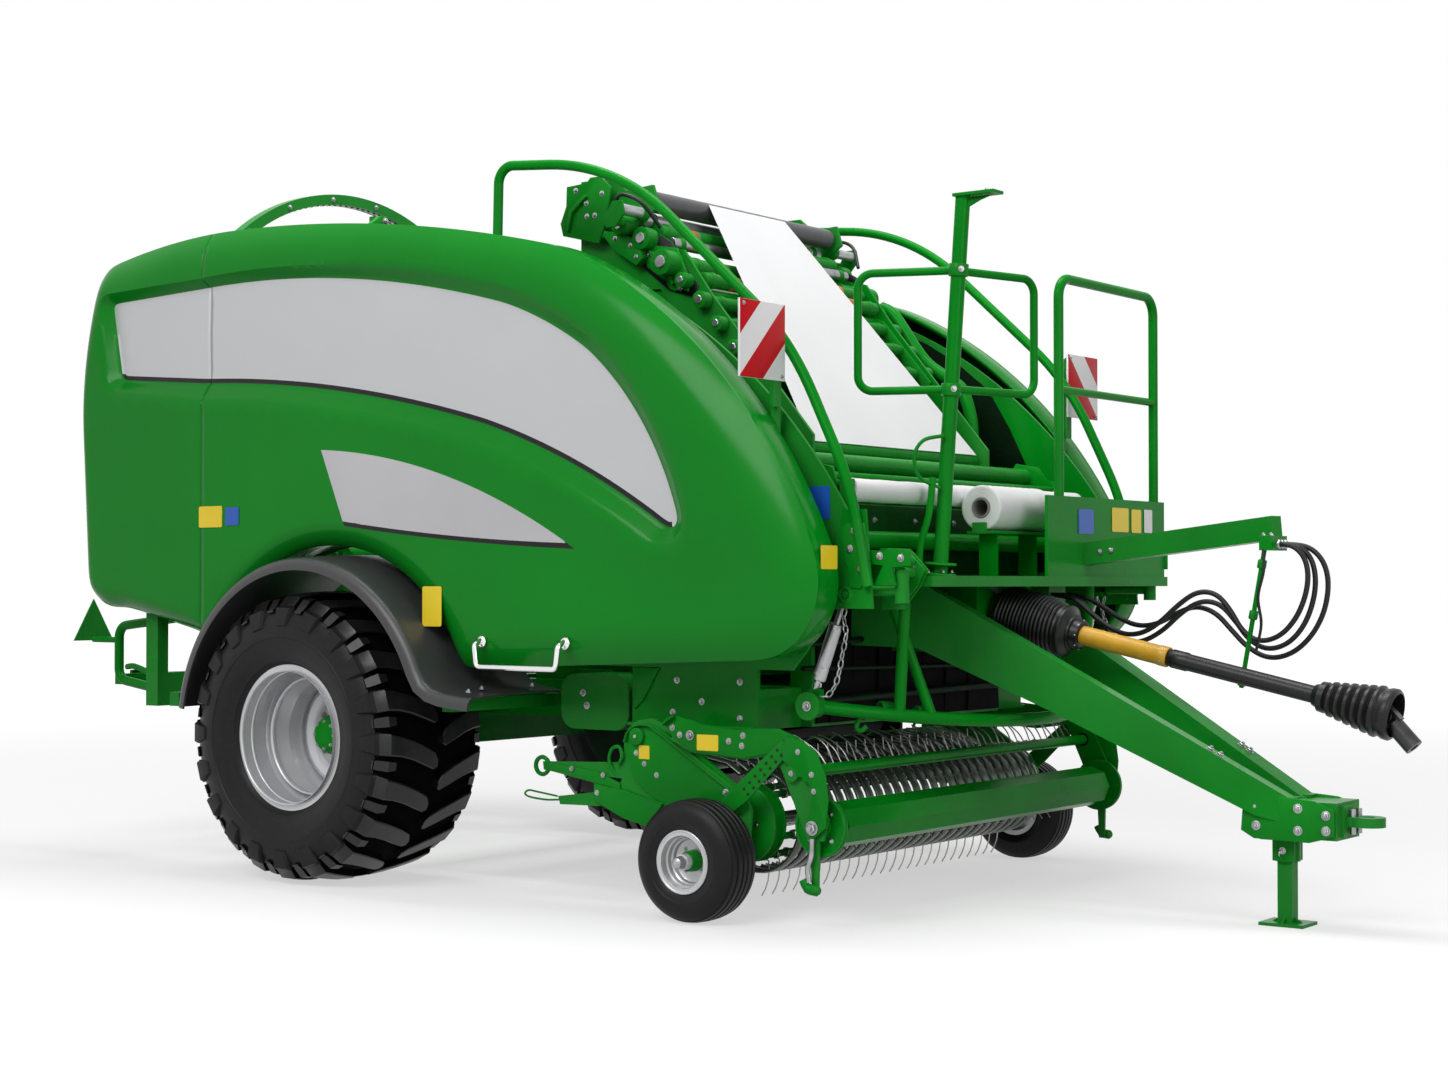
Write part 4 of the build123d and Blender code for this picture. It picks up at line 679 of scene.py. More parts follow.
for word, side in SIDES:
    body = word + "_wheel"
    tyre = Shape(side)
    profile = [(-y, r) for y, r in reversed(TYRE_HALF[1:])] + TYRE_HALF
    made = tyre.lathe(profile, (0, AXLE_Y, TYRE_R), OUT, TYRE_SIDES)
    for k, face in enumerate(made):
        ring = k // TYRE_SIDES
        # the tread's floor between the lugs takes the darker groove rubber, as painted shade
        if min(profile[ring][1], profile[ring + 1][1]) > 0.52:
            face.material_index = SHADED_BOTTOM
    for k in range(LUG_PAIRS):
        for way in (-1, 1):
            start = 2 * math.pi * (k + (0.5 if way > 0 else 0)) / LUG_PAIRS
            rings = []
            for y, turn, width, *fall in LUG_ROWS:
                top, base = fall or (tread_top(y), TREAD_BASE - 0.03)
                root, inner = (y - 0.03, y - 0.006) if fall else (y, y)
                rings.append([
                    wheel_point(side, way * reach, r, start + turn + share * width / TYRE_R)
                    for reach, r, share in (
                        (root, base, -1.12), (inner, top - 0.004, -1), (y, top, -0.86), (y, top, 0.86),
                        (inner, top - 0.004, 1), (root, base, 1.12))])
            flat = 6 * (len(rings) - 4)
            for j, face in enumerate(tyre.strip(rings)):
                # lug tops take the lighter rubber as a painted highlight, their sides and roots the darker
                # rubber as painted shade
                if j < flat and j % 6 != 5:
                    face.material_index = LIT_TOP if j % 6 in (1, 2, 3) else SHADED_BOTTOM
            # the small block between two lugs at the shoulder
            turn, block = start + 0.148 + math.pi / LUG_PAIRS, []
            for y, width in ((0.225, 0.02), (0.262, 0.026), (0.29, 0.026), (0.306, 0.022)):
                top, base = tread_top(y) - 0.008, TREAD_BASE - 0.045
                block.append([wheel_point(side, way * y, r, turn + share * width / TYRE_R)
                              for r, share in ((base, -1), (top, -0.85), (top, 0.85), (base, 1))])
            for j, face in enumerate(tyre.strip(block)):
                # the block's top is painted lighter as a highlight, its sides darker as painted shade
                face.material_index = LIT_TOP if j % 4 == 1 else SHADED_BOTTOM
    tyre.make(word + "_lugged_tyre", body, [RUBBER, LIT_TREAD, SHADED_GROOVE], "tyre", 28, word + "_tyre")
    studs = Shape(side)
    studs.bolt_ring((0, DISH_Y + 0.0085, TYRE_R), 0.125, 10, 0.013, mat=0)
    studs.make(word + "_wheel_studs", body, [STEEL], "bright_steel", 34)
    valve = Shape(side)
    valve.tube([
        (0.235, 1.02, TYRE_R), (0.235, 1.05, TYRE_R), (0.228, 1.075, TYRE_R)], [0.006, 0.005, 0.004], 10)
    valve.make(word + "_tyre_valve", body, [BLACK], "guard_black", 34)

# ---- gauge wheels ----
GAUGE = (1.985, 1.236, 0.2285)
for word, side in SIDES:
    body = word + "_gauge_wheel"
    ribs = Shape(side)
    half = [
        (0.006, 0.2275), (0.01, 0.2195), (0.016, 0.2195), (0.02, 0.227), (0.036, 0.2265), (0.04, 0.2185),
        (0.046, 0.218), (0.05, 0.2245), (0.062, 0.2225), (0.066, 0.2145), (0.071, 0.2135), (0.075, 0.2165),
        (0.086, 0.205), (0.094, 0.188), (0.098, 0.165), (0.097, 0.15), (0.0955, 0.148), (0.094, 0.138),
        (0.088, 0.124), (0.08, 0.112)]
    profile = [(-y, r) for y, r in reversed(half)] + [(0.0, 0.2277)] + half
    ribs.lathe(profile, GAUGE, OUT, 96)
    ribs.make(word + "_ribbed_tyre", body, [RUBBER], "tyre", 30, word + "_gauge_tyre")
    nuts = Shape(side)
    nuts.bolt_ring((GAUGE[0], GAUGE[1] + 0.0126, GAUGE[2]), 0.055, 4, 0.007, math.pi / 4, 0)
    nuts.lathe([(0, 0.024), (0.012, 0.024), (0.03, 0.019), (0.036, 0.01), (0.037, 0.0)],
               (GAUGE[0], GAUGE[1] + 0.0905, GAUGE[2]), OUT, 24)
    nuts.make(word + "_gauge_nuts", body, [STEEL], "bright_steel", 34)
    # stepped dish on the rim's outer side, and the painted sleeve round its hub
    dish = Shape(side)
    front = [
        (0.0862, 0.1185), (0.089, 0.118), (0.0905, 0.115), (0.0895, 0.111), (0.0868, 0.108), (0.0868, 0.1),
        (0.08, 0.097), (0.06, 0.0955), (0.055, 0.0905), (0.038, 0.0885), (0.033, 0.0825), (0.018, 0.08),
        (0.0125, 0.07), (0.0125, 0.0312)]
    back = [(0.0103, 0.0312), (0.0103, 0.0977), (0.0862, 0.0978)]
    dish.lathe(front + back + front[:1], GAUGE, OUT, 64)
    dish.lathe([(0.0127, 0.0302), (0.0127, 0.04), (0.05, 0.038), (0.062, 0.0345), (0.062, 0.0302)],
               GAUGE, OUT, 32, 1)
    dish.make(word + "_gauge_dish", body, [RIM, PAINT], "rim_silver", 30)

# ---- fenders ----
FENDER_AT, FENDER_R = (0.1, 0.6115), 0.765
FENDER_CROWN = (0.852, 0.9, 1.0, 1.12, 1.24, 1.34, 1.42)
CROWN_Y = 1.12
line = []
for k in range(60):
    a = math.radians(171.5 - (171.5 - 24) * k / 59)
    line.append((FENDER_AT[0] + FENDER_R * math.cos(a), FENDER_AT[1] + FENDER_R * math.sin(a)))
line += [(0.828, 0.876), (0.862, 0.856), (0.915, 0.842), (0.99, 0.833), (1.068, 0.827)]
quarter = [math.pi / 2 * k / 6 for k in range(7)]
across = [(y, -0.004 - 0.02 * ((y - CROWN_Y) / 0.37) ** 2) for y in FENDER_CROWN]
across += [(1.452 + 0.034 * math.sin(a), 0.04 * math.cos(a) - 0.058) for a in quarter]
across += [(1.487, -0.07), (1.479, -0.071), (1.478, -0.058)]
across += [(1.45 + 0.027 * math.sin(a), 0.032 * math.cos(a) - 0.058) for a in quarter[::-1]]
across += [(y, -0.012 - 0.02 * ((y - CROWN_Y) / 0.37) ** 2) for y in FENDER_CROWN[::-1]]
for word, side in SIDES:
    arch = Shape(side)
    arch.sweep(line, across)
    arch.make(word + "_fender_shell", "chassis", [FENDER], "fender_grey", 50, "fenders" if side < 0 else None)
    bolts = Shape(side)
    for x, y in ((0.97, 1.0), (0.97, 1.3), (1.03, 1.44)):
        bolts.bolt((x, y, 0.8345 if x < 1 else 0.8285), (0.1, 0, 1), 0.01, 0)
    bolts.make(word + "_fender_bolts", "chassis", [STEEL], "bright_steel", 34)

# ---- film web and rolls ----
WEB_TOP, WEB_BOTTOM, WEB_R, WEB_GAP = (1.3, 2.82), (2.05, 1.78), 0.0453, 0.0035
run = Vector((WEB_BOTTOM[0] - WEB_TOP[0], 0, WEB_BOTTOM[1] - WEB_TOP[1]))
along = run.normalized()
lift = Vector((-along.z, 0, along.x))
web = Shape()
rows = []
ROWS, COLUMNS = 60, 44
for i in range(ROWS + 1):
    t = i / ROWS
    low, high = -0.3 - 0.34 * t, 0.26 + 0.38 * t
    row = []
    for j in range(COLUMNS + 1):
        s = j / COLUMNS
        y = low + (high - low) * s
        ripple = 0.0009 * (1 + math.sin(s * 27 + 1.4 * math.sin(t * 3))) * math.sin(math.pi * t)
        ripple += 0.0014 * (1 + math.sin(s * 9 + 1.0)) * math.sin(math.pi * t)
        row.append(place(WEB_TOP[0], y, WEB_TOP[1]) + lift * (WEB_R + WEB_GAP + ripple) + run * t)
    rows.append(row)
web.strip(rows, closed=False)
web_piece = web.make("film_sheet", "chassis", [FILM], "film_white", 60, "film_web")


def film_roll(name, x, z, low, high, radius, core, stands_for):
    """A roll of film on its tube: wound ends, a round-edged outside and a hollow core."""
    shape = Shape()
    steps, count, length = 14, 26, high - low
    end = [(0.004, core), (0.001, core + 0.004)]
    for k in range(steps):
        end.append((0.0005 + 0.0012 * (k % 2), core + 0.006 + (radius - core - 0.012) * k / (steps - 1)))
    end += [(0.003, radius - 0.002), (0.007, radius)]
    middle = [(0.007 + (length - 0.014) * k / count, radius - 0.0009 * (k % 3)) for k in range(1, count)]
    shape.lathe(end + middle + [(length - d, r) for d, r in end[::-1]], (x, low, z), OUT, 64)
    shape.lathe([(-0.004, core - 0.007), (-0.004, core - 0.0005), (length + 0.004, core - 0.0005),
                 (length + 0.004, core - 0.007)], (x, low, z), OUT, 48, 1, loop=True)
    shape.make(name, "chassis", [FILM, CARD], "film_white", stands_for=stands_for)


film_roll("spare_roll", 2.565, 1.55, -0.146, 0.296, 0.0895, 0.04, "spare_film_roll")
film_roll("wide_roll", 2.43, 1.6, -0.886, 0.896, 0.0448, 0.022, "wide_film_roll")

# ---- marker boards ----
BOARD, BOARD_AT = 0.282, (2.288, 1.243, 2.135)
STRIPES = (0.46, 0.98, 1.5)  # where the colours change, in board widths down the diagonal
x, y, z = BOARD_AT
h = BOARD / 2
boards = Shape()
for boards.side in (-1, 1):
    boards.box((x - 0.005, y - h, z - h), (x + 0.005, y + h, z + h), 0, 0.0015)
for side in (-1, 1):
    for share in STRIPES:
        # diagonal lines that run down towards the machine's middle
        way = Vector((0, side, 1))
        chosen = [f for f in boards.bm.faces if f.calc_center_median().y * side > 0]
        parts = list({e for f in chosen for e in f.edges} | {v for f in chosen for v in f.verts}) + chosen
        bmesh.ops.bisect_plane(boards.bm, geom=parts, plane_no=way.normalized(),
                               plane_co=place(x, side * (y + h), z + h) - way * (BOARD * share / 2))
for f in boards.bm.faces:
    c = f.calc_center_median()
    share = (y + h - abs(c.y) + z + h - c.z) / BOARD
    band = sum(share > s for s in STRIPES)
    f.material_index = 1 if band % 2 == 0 and abs(f.normal.x) > 0.5 else 0
boards.make("striped_boards", "chassis", [WHITE, RED], "board_white", 30, "marker_boards")
rivets = Shape()
for side in (-1, 1):
    for dy, dz in ((-0.12, 0.125), (0.12, -0.125)):
        rivets.bolt((x + 0.0052, side * y + dy, z + dz), AHEAD, 0.006, 0)
rivets.make("board_rivets", "chassis", [STEEL], "bright_steel", 34)

# ---- rear triangles ----
marks = Shape()
for side in (-1, 1):
    marks.prism([
        (-1.8155, side + dy, z) for dy, z in ((-0.078, 1.0), (0.078, 1.0), (0, 1.136))], BACK, 0.0045, 0,
        0.0012)
marks.make("reflex_triangles", "chassis", [RED], "reflector_red", 34)


# ---- blank stickers ----
def sticker(name, centre, normal, width, height, mat, body="right_door"):
    """A thin plate with round corners and a fine raised border, with nothing printed on it."""
    normal, up = Vector(normal).normalized(), Vector(UP)
    across = up.cross(normal)
    shape = Shape()
    for w, h, thick in ((width, height, 0.0012), (width * 0.9, height * 0.92, 0.0015)):
        ring = []
        r = min(w, h) * 0.08
        for i, (cx, cy) in enumerate((
                (w / 2 - r, h / 2 - r), (-w / 2 + r, h / 2 - r), (-w / 2 + r, -h / 2 + r),
                (w / 2 - r, -h / 2 + r))):
            for k in range(4):
                a = math.radians(90 * i + 30 * k)
                ring.append(place(*centre) + across * (cx + r * math.cos(a)) + up * (cy + r * math.sin(a)))
        shape.prism([p + normal * 0.0003 for p in ring], normal, thick)
    shape.make(name, body, [mat], "board_white", 34)


ON_DOOR, ON_FRAME = 1.3365, 2.787  # |y| of the doors' flat and x of the front cross plate
for row in (
    ("yellow_sticker_a", (-0.589, -ON_DOOR, 1.541), RIGHT, 0.15, 0.092, STICKER_Y),
    ("blue_sticker_a", (-0.45, -ON_DOOR, 1.541), RIGHT, 0.085, 0.078, STICKER_B),
    ("yellow_sticker_b", (0.735, -ON_DOOR, 1.16), RIGHT, 0.105, 0.16, STICKER_Y),
    ("yellow_sticker_c", (-0.589, ON_DOOR, 1.541), OUT, 0.15, 0.092, STICKER_Y, "left_door"),
    ("blue_sticker_b", (2.414, -1.0555, 1.546), RIGHT, 0.092, 0.122, STICKER_B, "chassis"),
    ("blue_sticker_c", (ON_FRAME, 0.315, 1.502), AHEAD, 0.13, 0.1, STICKER_B, "chassis"),
    ("yellow_sticker_d", (ON_FRAME, 0.62, 1.515), AHEAD, 0.15, 0.1, STICKER_Y, "chassis"),
    ("yellow_sticker_e", (ON_FRAME, 0.768, 1.513), AHEAD, 0.09, 0.098, STICKER_Y, "chassis"),
    ("white_sticker", (ON_FRAME, 0.88, 1.515), AHEAD, 0.075, 0.098, WHITE, "chassis"),
    ("yellow_sticker_h", (2.5485, -1.195, 1.345), (1, 0, 0.02), 0.105, 0.085, STICKER_Y),
    ("yellow_sticker_f", (1.962, -1.1358, 0.655), RIGHT, 0.1, 0.06, STICKER_Y, "wind_guard"),
    ("yellow_sticker_g", (1.64, -1.1118, 0.604), RIGHT, 0.052, 0.052, STICKER_Y, "pickup"),
):
    sticker(*row)

# ---- rim wells and hubs ----
for word, side in SIDES:
    body = word + "_wheel"
    rings = Shape(side)
    for y, r, tall, wide in (
            (1.425, 0.277, 0.006, 0.012), (1.372, 0.276, 0.005, 0.008), (1.285, 0.244, 0.009, 0.014),
            (1.095, 0.2295, 0.01, 0.016)):
        profile = [(wide * math.cos(t), r - tall * max(0, math.sin(t)) + 0.001)
                   for t in (math.pi * k / 8 for k in range(9))]
        rings.lathe(profile, (0, y, TYRE_R), OUT, 96)
    dish = [(0.0, 0.228), (0.012, 0.222), (0.018, 0.205), (0.01, 0.185), (0.004, 0.172), (0.0035, 0.15),
            (0.0085, 0.143), (0.0085, 0.108), (0.004, 0.102), (0.001, 0.09)]
    rings.lathe([(d + 0.0008, r) for d, r in dish], (0, DISH_Y, TYRE_R), OUT, 96)
    rings.make(word + "_rim_rings", body, [RIM], "rim_silver")
    hub = Shape(side)
    profile = [(0, 0.0895), (0.006, 0.0895), (0.008, 0.087), (0.01, 0.0862), (0.06, 0.086), (0.066, 0.083),
               (0.068, 0.078), (0.09, 0.074), (0.106, 0.064), (0.114, 0.048), (0.116, 0.03), (0.116, 0.0)]
    hub.lathe(profile, (0, DISH_Y + 0.002, TYRE_R), OUT, 48)
    hub.bolt_ring((0, DISH_Y + 0.112, TYRE_R), 0.056, 8, 0.006)
    hub.make(word + "_hub_cap", body, sharp=35)

# ---- pickup ----
REEL, TINE_STEP = (2.045, 0.35), 0.07
CROP = (2.443, 0.367)  # the crop roller's axis
reel = Shape()
reel.bar(REEL[0], REEL[1], -1.101, 1.101, 0.0245, 1)
for reel.side in (-1, 1):
    drum = [
        (0, 0.03), (0, 0.146), (0.003, 0.1495), (0.012, 0.1495), (0.014, 0.14), (0.066, 0.138),
        (0.068, 0.1495), (0.077, 0.1495), (0.08, 0.146), (0.08, 0.03)]
    reel.lathe(drum, (REEL[0], 0.95, REEL[1]), OUT)
    reel.bolt_ring((REEL[0], 1.03, REEL[1]), 0.07, 6, 0.007)
for k in range(5):
    turn = math.radians(72 * k + 20)
    out = Vector((math.cos(turn), 0, -math.sin(turn)))
    back = Vector((-out.z, 0, out.x))
    foot = place(REEL[0], 0, REEL[1]) + out * 0.135
    reel.rod(foot - ACROSS * 0.955, ACROSS, 0.0135, 1.91, 12)
    for row in range(26):
        base = foot + ACROSS * ((row + 0.5 - 13) * TINE_STEP)
        coil = []
        for step in range(15):
            t = 2 * math.pi * step / 7
            coil.append(
                base + ACROSS * (0.0013 * step - 0.009) + (out * math.cos(t) + back * math.sin(t)) * 0.0175)
        tip = [base + ACROSS * 0.01 + out * a + back * b
               for a, b in ((0.02, 0.01), (0.055, 0.014), (0.095, 0.01), (0.13, -0.002), (0.157, -0.018))]
        reel.tube(coil + tip, 0.0028, 5, 1)
reel.make("tine_reel", "pickup_reel", [PAINT, TINE_STEEL], sharp=45, stands_for="pickup_reel")

bands = Shape()
line = [(1.7, 0.594), (1.8, 0.58), (1.9, 0.562)]
line += [(REEL[0] + 0.1935 * math.cos(math.radians(a)), REEL[1] + 0.1935 * math.sin(math.radians(a)))
         for a in range(116, -111, -9)]
for row in range(27):
    y = (row - 13) * TINE_STEP
    bands.sweep(line, [(y + dy, d) for dy, d in (
        (-0.0222, -0.008), (-0.0222, 0), (-0.017, 0.0035), (0, 0.0048), (0.017, 0.0035), (0.0222, 0),
        (0.0222, -0.008), (0.0195, -0.008), (0.0175, 0), (-0.0175, 0), (-0.0195, -0.008))])
bands.bar(1.68, 0.56, -1.088, 1.088, 0.0445, 1, 32)
bands.make("curved_bands", "pickup", [BAND, PAINT], stands_for="pickup_bands")

CHEEK = [
    (1.548, 0.64), (1.56, 0.675), (1.59, 0.702), (1.631, 0.712), (1.675, 0.712), (1.74, 0.684),
    (2.085, 0.482), (2.12, 0.432), (2.1, 0.395), (1.752, 0.4), (1.64, 0.455), (1.586, 0.5), (1.56, 0.575)]
for word, side in SIDES:
    cheek = Shape(side)
    cheek.plate(CHEEK, 1.1055, 0.006)
    cheek.sweep(CHEEK[:4] + [(1.672, 0.71), (1.728, 0.68), (1.9, 0.577), (2.06, 0.483)],
                ((1.108, -0.006), (1.126, -0.006), (1.13, -0.003), (1.129, 0), (1.108, 0)))
    cheek.bolts(((1.64, 0.56), (1.7, 0.52), (1.6, 0.6)), 1.1115, 0.008)
    cheek.bolts(((2.03, 0.47), (2.03, 0.425), (2.075, 0.35)), 1.112, 0.011)
    cheek.bolts(((1.61, 0.665),), 1.114, 0.016)
    cheek.make(word + "_cheek_plate", "pickup")
    # levers behind the cheek, with a ring and a wire loop for their ends
    lever = Shape(side)
    lever.plate((
        (1.392, 0.47), (1.56, 0.452), (1.73, 0.408), (1.65, 0.322), (1.54, 0.345), (1.392, 0.405)), 1.1055,
        0.012, 0, 0.003)
    lever.plate(((1.392, 0.47), (1.395, 0.474), (1.735, 0.414), (1.73, 0.408)), 1.06, 0.058, 0, 0.001)
    lever.plate(((1.15, 0.512), (1.15, 0.545), (1.4, 0.52), (1.52, 0.48), (1.52, 0.455)), 1.1055, 0.008)
    lever.hoop((1.118, 1.105, 0.528), ACROSS, 0.034, 0.009)
    lever.pipe([
        (1.205, 1.108, 0.398), (1.14, 1.112, 0.395), (1.06, 1.115, 0.402), (1.035, 1.115, 0.414),
        (1.055, 1.115, 0.428), (1.1, 1.114, 0.424), (1.2, 1.11, 0.412)], 0.004, 8)
    lever.pipe([
        (1.5, 1.1, 0.5), (1.47, 1.115, 0.56), (1.485, 1.118, 0.61), (1.52, 1.118, 0.62),
        (1.535, 1.118, 0.585), (1.515, 1.115, 0.55)], 0.007, 8)
    lever.bolts(((1.41, 0.437), (1.44, 0.507), (1.28, 0.525)), 1.1178, 0.008)
    lever.make(word + "_lift_levers", "pickup")
    # wind guard arm, adjusting bar with holes, front bracket
    arm = Shape(side)
    arm.plate((
        (1.754, 0.716), (1.775, 0.738), (1.806, 0.752), (1.889, 0.736), (1.925, 0.722), (2.1, 0.706),
        (2.19, 0.716), (2.29, 0.72), (2.366, 0.69), (2.32, 0.64), (2.122, 0.604), (1.875, 0.622),
        (1.8, 0.668)), 1.1305, 0.005, 0, 0.0015)
    arm.plate((
        (1.754, 0.716), (1.775, 0.738), (1.806, 0.752), (1.812, 0.748), (1.782, 0.732), (1.76, 0.712)),
        1.134, 0.022, 0, 0.001)
    arm.bolts(((1.88, 0.68),), 1.1365, 0.014)
    arm.bolts(((1.795, 0.706), (1.83, 0.68), (2.06, 0.665), (2.125, 0.688), (2.12, 0.65)), 1.1355)
    arm.plate((
        (2.304, 0.68), (2.352, 0.648), (2.15, 0.452), (2.084, 0.405), (2.02, 0.42), (2.05, 0.47),
        (2.11, 0.515)), 1.1365, 0.006, 0, 0.0015)
    for k in range(7):
        t = k / 6
        for off in (-0.012, 0.014):
            x, z = 2.295 - 0.15 * t - off * 0.7, 0.632 - 0.15 * t + off * 0.7
            arm.lathe([(0, 0.0065), (0.0006, 0.0065), (0.0006, 0.0)], (x, 1.1427, z), OUT, 10, 2)
    arm.plate((
        (2.325, 0.694), (2.4, 0.682), (2.462, 0.64), (2.5, 0.56), (2.512, 0.47), (2.502, 0.372),
        (2.443, 0.325), (2.415, 0.365), (2.448, 0.493), (2.425, 0.535), (2.405, 0.53), (2.398, 0.552),
        (2.376, 0.548), (2.368, 0.574), (2.311, 0.606)), 1.1425, 0.006, 0, 0.0015)
    arm.bolts((CROP,), 1.1485, 0.02)
    arm.bolts(((2.45, 0.5), (2.44, 0.56), (2.38, 0.64), (2.35, 0.56)), 1.1485, 0.008)
    arm.pipe([(2.443, 1.15, 0.33), (2.44, 1.15, 0.27), (2.425, 1.15, 0.22), (2.43, 1.15, 0.17)], 0.01, 10, 1)
    arm.pipe([
        (2.405, 1.15, 0.178), (2.425, 1.15, 0.15), (2.475, 1.148, 0.142)],
        [0.016] * 6 + [0.02] * 6 + [0.012], 10)
    arm.tube([(2.35, 1.118, 0.56), (2.35, 1.148, 0.56)], 0.03, 20)
    arm.make(word + "_guard_arm", "wind_guard", [PAINT, STEEL, TRIM])
    end = Shape(side)
    end.lathe([(0, 0.109), (0.003, 0.111), (0.006, 0.109), (0.006, 0.1), (0.002, 0.097), (0.002, 0.045),
               (0.012, 0.042), (0.012, 0.0)], (CROP[0], 1.0925, CROP[1]), OUT, 48)
    end.bolt_ring((CROP[0], 1.0945, CROP[1]), 0.068, 4, 0.007, math.pi / 4)
    end.make(word + "_roller_flange", "crop_roller")
    # gauge wheel bracket
    leg = Shape(side)
    leg.plate((
        (1.935, 0.33), (2.035, 0.33), (2.025, 0.215), (1.985, 0.19), (1.945, 0.215)), 1.1055, 0.012, 0,
        0.003)
    leg.bolts(((1.96, 0.3), (2.01, 0.3)), 1.1175)
    leg.lathe(
        [(0, 0.03), (0.014, 0.03), (0.016, 0.026), (0.016, 0.0126)], (GAUGE[0], 1.1175, GAUGE[2]), OUT, 24)
    leg.make(word + "_gauge_leg", "pickup")

press = Shape()
for row in range(40):
    y = (row - 19.5) * 0.052
    wobble = 0.012 * math.sin(row * 2.4)
    press.pipe([
        (2.342, y, 0.58), (2.31, y + 0.004, 0.628 + wobble), (2.255, y + 0.01, 0.662 + wobble),
        (2.2 + wobble, y + 0.016, 0.668 - wobble)], 0.003, 5, 0, 4)
press.make("press_tines", "wind_guard", [TINE_STEEL], "bright_steel", 45)

# ---- springs, chains and the hoops' feet ----
for word, side in SIDES:
    chain = Shape(side)
    path = smooth_path([chain.at(p) for p in (
        (2.512, 1.02, 1.196), (2.497, 1.024, 1.13), (2.512, 1.028, 1.07), (2.496, 1.026, 1.006),
        (2.48, 1.026, 0.93), (2.458, 1.026, 0.87), (2.42, 1.022, 0.836), (2.392, 1.018, 0.836))], 12)
    spots = [path[0]]
    for p in path[1:]:
        if (p - spots[-1]).length >= 0.029:
            spots.append(p)
    for k, (a, b) in enumerate(zip(spots, spots[1:])):
        way = (b - a).normalized()
        flat = way.cross(ACROSS).normalized()
        wide = flat if k % 2 else way.cross(flat)
        link = [(a + b) / 2 + wide * (0.0095 * c) + way * (0.004875 * s ** 3 + 0.015 * s)
                for c, s in circle(14)]
        chain.tube(link, 0.003, 6, loop=True)
    chain.make(word + "_chain", "chassis", [STEEL], "bright_steel", 60)
    spring = Shape(side)
    low, top = spring.at((2.364, 1.0, 0.866)), spring.at((2.487, 1.0, 1.193))
    way = (top - low).normalized()
    spring.rod(low, way, 0.0085, 0.345, 14, 1)
    spring.lathe([
        (0.03, 0.009), (0.03, 0.019), (0.034, 0.0225), (0.078, 0.0225), (0.082, 0.0205), (0.09, 0.0225),
        (0.232, 0.0225), (0.24, 0.019), (0.24, 0.009)], low, way, 28)
    for d in (0.0, 0.318):
        spring.hoop(low + way * (d + 0.012), ACROSS, 0.013, 0.0038, 1, 20)
    spring.make(word + "_strut", "chassis", [RIM, STEEL], "bright_steel")

    foot = Shape(side)
    foot.plate((
        (2.52, 1.44), (2.54, 1.47), (2.62, 1.47), (2.64, 1.338), (2.628, 1.276), (2.6, 1.232),
        (2.556, 1.238), (2.56, 1.284), (2.533, 1.339)), 1.0655, 0.008)
    foot.bolts(((2.557, 1.376), (2.602, 1.368), (2.604, 1.302), (2.575, 1.44)), 1.0735, 0.011)
    foot.hoop((2.531, 1.062, 1.212), ACROSS, 0.024, 0.009)
    foot.rod((2.531, 1.0, 1.212), OUT, 0.012, 0.07, 12)
    foot.plate((
        (2.609, 1.372), (2.7, 1.366), (2.7, 1.378), (2.798, 1.374), (2.798, 1.312), (2.72, 1.311),
        (2.738, 1.244), (2.642, 1.244), (2.688, 1.318), (2.609, 1.322)), 1.04, 0.01)
    foot.bolts(((2.67, 1.35), (2.759, 1.342)), 1.05, 0.011)
    foot.tube([(2.535, 1.002, 1.224), (2.74, 1.002, 1.224)], 0.019, 20)
    foot.tube([(2.735, 1.002, 1.18), (2.735, 1.002, 1.3)], 0.026, 20)
    foot.tube([(2.735, 1.002, 1.29), (2.735, 0.885, 1.292)], 0.02, 20)
    if side > 0:
        foot.tube([(2.7, 1.002, 1.262), (2.7, 1.045, 1.262)], 0.012)
    foot.make(word + "_hoop_foot")

    board_arm = Shape(side)
    board_arm.box((2.258, 1.108, 1.905), (2.27, 1.156, 2.255))
    for z in (1.93, 2.03, 2.22):
        board_arm.bolt((2.27, 1.132, z), AHEAD, 0.008, 0)
    board_arm.make(word + "_board_arm")

# ---- catches and levers at the foot of the mast ----
MAST_Y, MAST_LEAN = -0.38, 0.073
MAST_WAY = (MAST_LEAN, 0, 1)


def mast_at(z):
    """A point on the leaning mast's middle line."""
    return 2.518 + (z - 1.28) * MAST_LEAN, MAST_Y, z


mast = Shape()
for z in (1.282, 1.322):
    mast.lathe([(0, 0.029), (0, 0.06), (0.004, 0.064), (0.01, 0.06), (0.01, 0.029)], mast_at(z), MAST_WAY, 32)
for x, y in circle(4, 0.046, math.pi / 4):
    mast.bolt((2.519 + x, MAST_Y + y, 1.293), MAST_WAY, 0.008)
for z in (2.0, 2.46):
    mast.lathe([
        (0, 0.029), (0, 0.037), (0.003, 0.039), (0.045, 0.039), (0.048, 0.037), (0.048, 0.029)],
        mast_at(z - 0.024), MAST_WAY, 28)
    mast.bolt((mast_at(z)[0] + 0.028, MAST_Y - 0.028, z), (1, -1, 0), 0.009)
mast.pipe([
    (2.548, -0.43, 1.62), (2.5, -0.5, 1.66), (2.49, -0.52, 1.74), (2.515, -0.495, 1.8), (2.56, -0.425, 1.82)
    ], 0.0075, 10)
mast.pipe([(2.47, -0.455, 1.285), (2.48, -0.46, 1.4), (2.515, -0.455, 1.52), (2.53, -0.45, 1.66)], 0.014)
mast.prism([(x, -0.374, z) for x, z in (
    (2.6, 2.69), (2.636, 2.738), (2.76, 2.738), (2.7, 2.722), (2.65, 2.7))], RIGHT, 0.012, 0, 0.0015)
for y in (-0.408, -0.352):
    mast.bolt((2.745, y, 2.752), UP, 0.007)
mast.make("mast_fittings")

catch = Shape()
